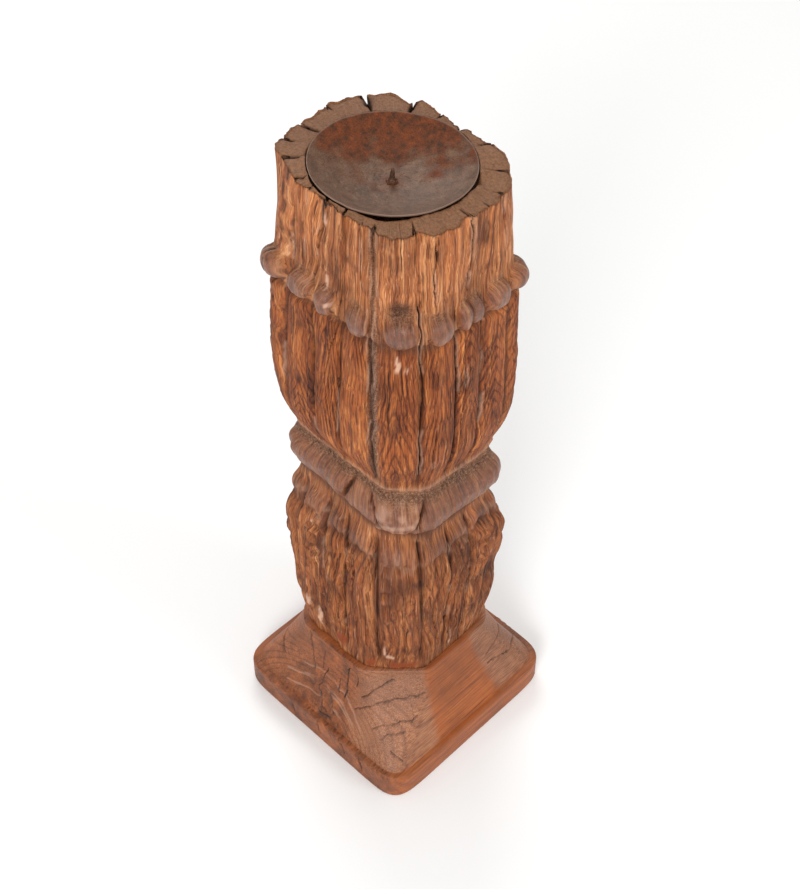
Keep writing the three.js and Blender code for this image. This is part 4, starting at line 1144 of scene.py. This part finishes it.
rough = node(tree, "MapRange", {0: rust, 3: 0.56, 4: 0.76})
tree.links.new(rough.outputs[0], shader.inputs["Roughness"])
grit = node(tree, "Math", {0: grains, 1: 0.6, 2: bloom}, operation="MULTIPLY_ADD")
bump = node(tree, "Bump", {"Height": grit, "Strength": 0.35, "Distance": 0.0006})
tree.links.new(bump.outputs[0], shader.inputs["Normal"])

dish = ring_skin(
    "beaten_dish",
    dish_skin,
    [
        tuple(sawn(np.array(0.0), np.array(0.0), np.array(bowl_bottom - DISH_SHEET))),
        tuple(sawn(np.array(0.0), np.array(0.0), np.array(bowl_bottom)))
    ],
    {"rust": rust_amount, "rim": rim_wear},
    rusted_iron,
)
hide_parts("candle_dish")
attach(dish, "dish")

# ---------------------------------------------------------------------------
# Pricket. A nail-like iron spike in the middle of the dish to hold the candle,
# with a rough blob of weld at its foot and a tang below that drops into a hole
# in the post and keeps the dish in place.
# ---------------------------------------------------------------------------
SPIKE_TIP = bowl_bottom + 12.5
TANG_END = -39.9
# Height and radius, from the tang's end to the spike's tip.
SPIKE_PROFILE = np.array([
    (TANG_END, 1.2), (TANG_END + 0.8, 2.1), (TANG_END + 1.6, 2.5), (-30, 2.5), (-20, 2.5), (-16.6, 2.5),
    (bowl_bottom + 0.3, 2.6), (bowl_bottom + 0.34, 3.6), (bowl_bottom + 0.5, 4.0), (bowl_bottom + 0.8, 3.7),
    (bowl_bottom + 1.2, 3.0), (bowl_bottom + 1.7, 2.4), (bowl_bottom + 2.6, 2.0), (bowl_bottom + 5, 1.75),
    (bowl_bottom + 8, 1.6), (bowl_bottom + 10.5, 1.05), (bowl_bottom + 12.0, 0.55), (SPIKE_TIP - 0.1, 0.3),
])
along = np.linspace(0, 1, 90)
stations = np.linspace(0, 1, len(SPIKE_PROFILE))
height = np.interp(along, stations, SPIKE_PROFILE[:, 0])[:, None]
radius = np.interp(along, stations, SPIKE_PROFILE[:, 1])[:, None]
turn = np.linspace(-math.pi, math.pi, 41)[None, :-1]
burr = np.exp(-(((height - bowl_bottom - 0.9) / 0.8) ** 2))
knobbly = 1 + 0.28 * burr * noise(np.cos(turn) * 2.1, np.sin(turn) * 2.1, height / 0.7, 71)
knobbly = knobbly + 0.07 * noise(np.cos(turn) * 3, np.sin(turn) * 3, height / 1.3, 72)
bent = 0.5 * ramp_up(height, bowl_bottom + 3, SPIKE_TIP)
spike_skin = sawn(
    radius * knobbly * np.cos(turn) + bent, radius * knobbly * np.sin(turn) - 0.4 * bent, height + 0.0 * turn
)

spike_iron, tree, shader = new_material("forged_iron")
# Forged mild steel, browned by rust, darkest in the weld at its foot and rubbed a little brighter up the spike.
place = node(
    tree, "VectorMath", {0: node(tree, "TexCoord").outputs["Object"], "Scale": 1000.0}, operation="SCALE"
)
rust = node(tree, "Attribute", attribute_name="rust").outputs["Fac"]
grains = node(tree, "TexNoise", {"Vector": place, "Scale": 0.9, "Detail": 4.0, "Roughness": 0.7})
bare = node(tree, "ValToRGB", {"Fac": grains}, [(0.35, "#33231a"), (0.55, "#5f4636"), (0.75, "#8d7361")])
bloom = node(tree, "ValToRGB", {"Fac": grains}, [(0.35, "#2f190d"), (0.55, "#5e3218"), (0.75, "#864b26")])
mixed = node(tree, "Mix", {0: rust, 6: bare, 7: bloom}, data_type="RGBA")
tree.links.new(mixed.outputs[2], shader.inputs["Base Color"])
shader.inputs["Metallic"].default_value = 0.45
shader.inputs["Roughness"].default_value = 0.52
bump = node(tree, "Bump", {"Height": grains, "Strength": 0.5, "Distance": 0.0005})
tree.links.new(bump.outputs[0], shader.inputs["Normal"])

spike = ring_skin(
    "candle_spike",
    spike_skin,
    [
        tuple(sawn(np.array(0.0), np.array(0.0), np.array(TANG_END))),
        tuple(sawn(np.array(0.5), np.array(-0.2), np.array(SPIKE_TIP)))
    ],
    {"rust": np.clip(burr + 0.25 + 0.5 * noise(np.cos(turn) * 2, np.sin(turn) * 2, height / 2, 73), 0, 1)},
    spike_iron,
)
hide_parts("pricket")
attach(spike, "dish")

# ---------------------------------------------------------------------------
# Coach screws and washers. Four zinc-plated hexagon-headed coach screws go up
# through the plinth into the post, each on a washer in its own pocket, so the
# heads stay clear of the table.
# ---------------------------------------------------------------------------
HEAD_BOTTOM = 2.1
HEAD_TOP = 7.4
HEAD_HALF_FLATS = 6.5
SHANK_RADIUS = 4.0
THREAD_CORE = 2.9
THREAD_PITCH = 3.6
THREAD_START = 62.0
SCREW_TIP = 137.4

zinc_steel, tree, shader = new_material("zinc_plated_steel")
# Rolled steel with bright zinc plating, gone dull and slightly yellow, with fine marks from the die.
place = node(
    tree, "VectorMath", {0: node(tree, "TexCoord").outputs["Object"], "Scale": 1000.0}, operation="SCALE"
)
dulling = node(tree, "TexNoise", {"Vector": place, "Scale": 0.35, "Detail": 4.0})
fine = node(tree, "TexNoise", {"Vector": place, "Scale": 2.4, "Detail": 2.0})
plating = node(tree, "ValToRGB", {"Fac": dulling}, [(0.35, "#8d8b82"), (0.55, "#b4b1a6"), (0.72, "#c7c2b0")])
tree.links.new(plating.outputs[0], shader.inputs["Base Color"])
shader.inputs["Metallic"].default_value = 1.0
rough = node(tree, "MapRange", {0: dulling, 3: 0.28, 4: 0.48})
tree.links.new(rough.outputs[0], shader.inputs["Roughness"])
bump = node(tree, "Bump", {"Height": fine, "Strength": 0.2, "Distance": 0.0002})
tree.links.new(bump.outputs[0], shader.inputs["Normal"])

turn = np.linspace(-math.pi, math.pi, 49)[None, :-1]
hexagon = reach(turn, [(k * math.pi / 3, 1.0) for k in range(6)])
round_off = 1.0 / np.maximum(hexagon, 1.0)
# Head: chamfered below, six flats, then the flat bearing face and the plain shank.
head_z = np.array([2.1, 2.15, 2.5, 3.1, 4.5, 6.0, 7.2, 7.4])[:, None]
head_r = np.array([5.2, 5.9, 6.4, 6.5, 6.5, 6.5, 6.5, 6.35])[:, None]
corner_share = np.array([0.0, 0.0, 0.35, 0.9, 1.0, 1.0, 1.0, 0.95])[:, None]
head = head_r * (1 + (hexagon - 1) * corner_share)
shank_z = np.concatenate(
    [[7.42, 8.2, 20, 35, 50], np.linspace(THREAD_START - 2, SCREW_TIP - 0.4, 172)]
)[:, None]
climb = (shank_z - THREAD_START) / THREAD_PITCH - turn / (2 * math.pi)
tooth = np.maximum(0.0, np.cos(2 * math.pi * climb)) ** 2.2
taper = 1 - ramp_up(shank_z, SCREW_TIP - 13, SCREW_TIP)
threaded = ramp_up(shank_z, THREAD_START - 1, THREAD_START + 1)
core = SHANK_RADIUS + (THREAD_CORE - SHANK_RADIUS) * threaded
shank = (core + (SHANK_RADIUS - THREAD_CORE) * tooth * threaded) * (0.12 + 0.88 * taper)
screw_r = np.concatenate([head, shank + 0.0 * turn])
screw_z = np.concatenate([head_z, shank_z]) + 0.0 * turn
number = 0
for centre_x in (-FIXING_OFFSET, FIXING_OFFSET):
    for centre_y in (-FIXING_OFFSET, FIXING_OFFSET):
        number += 1
        angle = turn + 0.4 * number
        rings_at = np.stack(
            [centre_x + screw_r * np.cos(angle), centre_y + screw_r * np.sin(angle), screw_z], -1
        )
        screw = ring_skin(
            f"coach_screw_{number}",
            rings_at,
            [(centre_x, centre_y, HEAD_BOTTOM), (centre_x, centre_y, SCREW_TIP)],
            None,
            zinc_steel,
        )
        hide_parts(f"base_screw_{number}")
        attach(screw, "stand")
        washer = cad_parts[f"base_washer_{number}"]
        washer.data.materials.clear()
        washer.data.materials.append(zinc_steel)
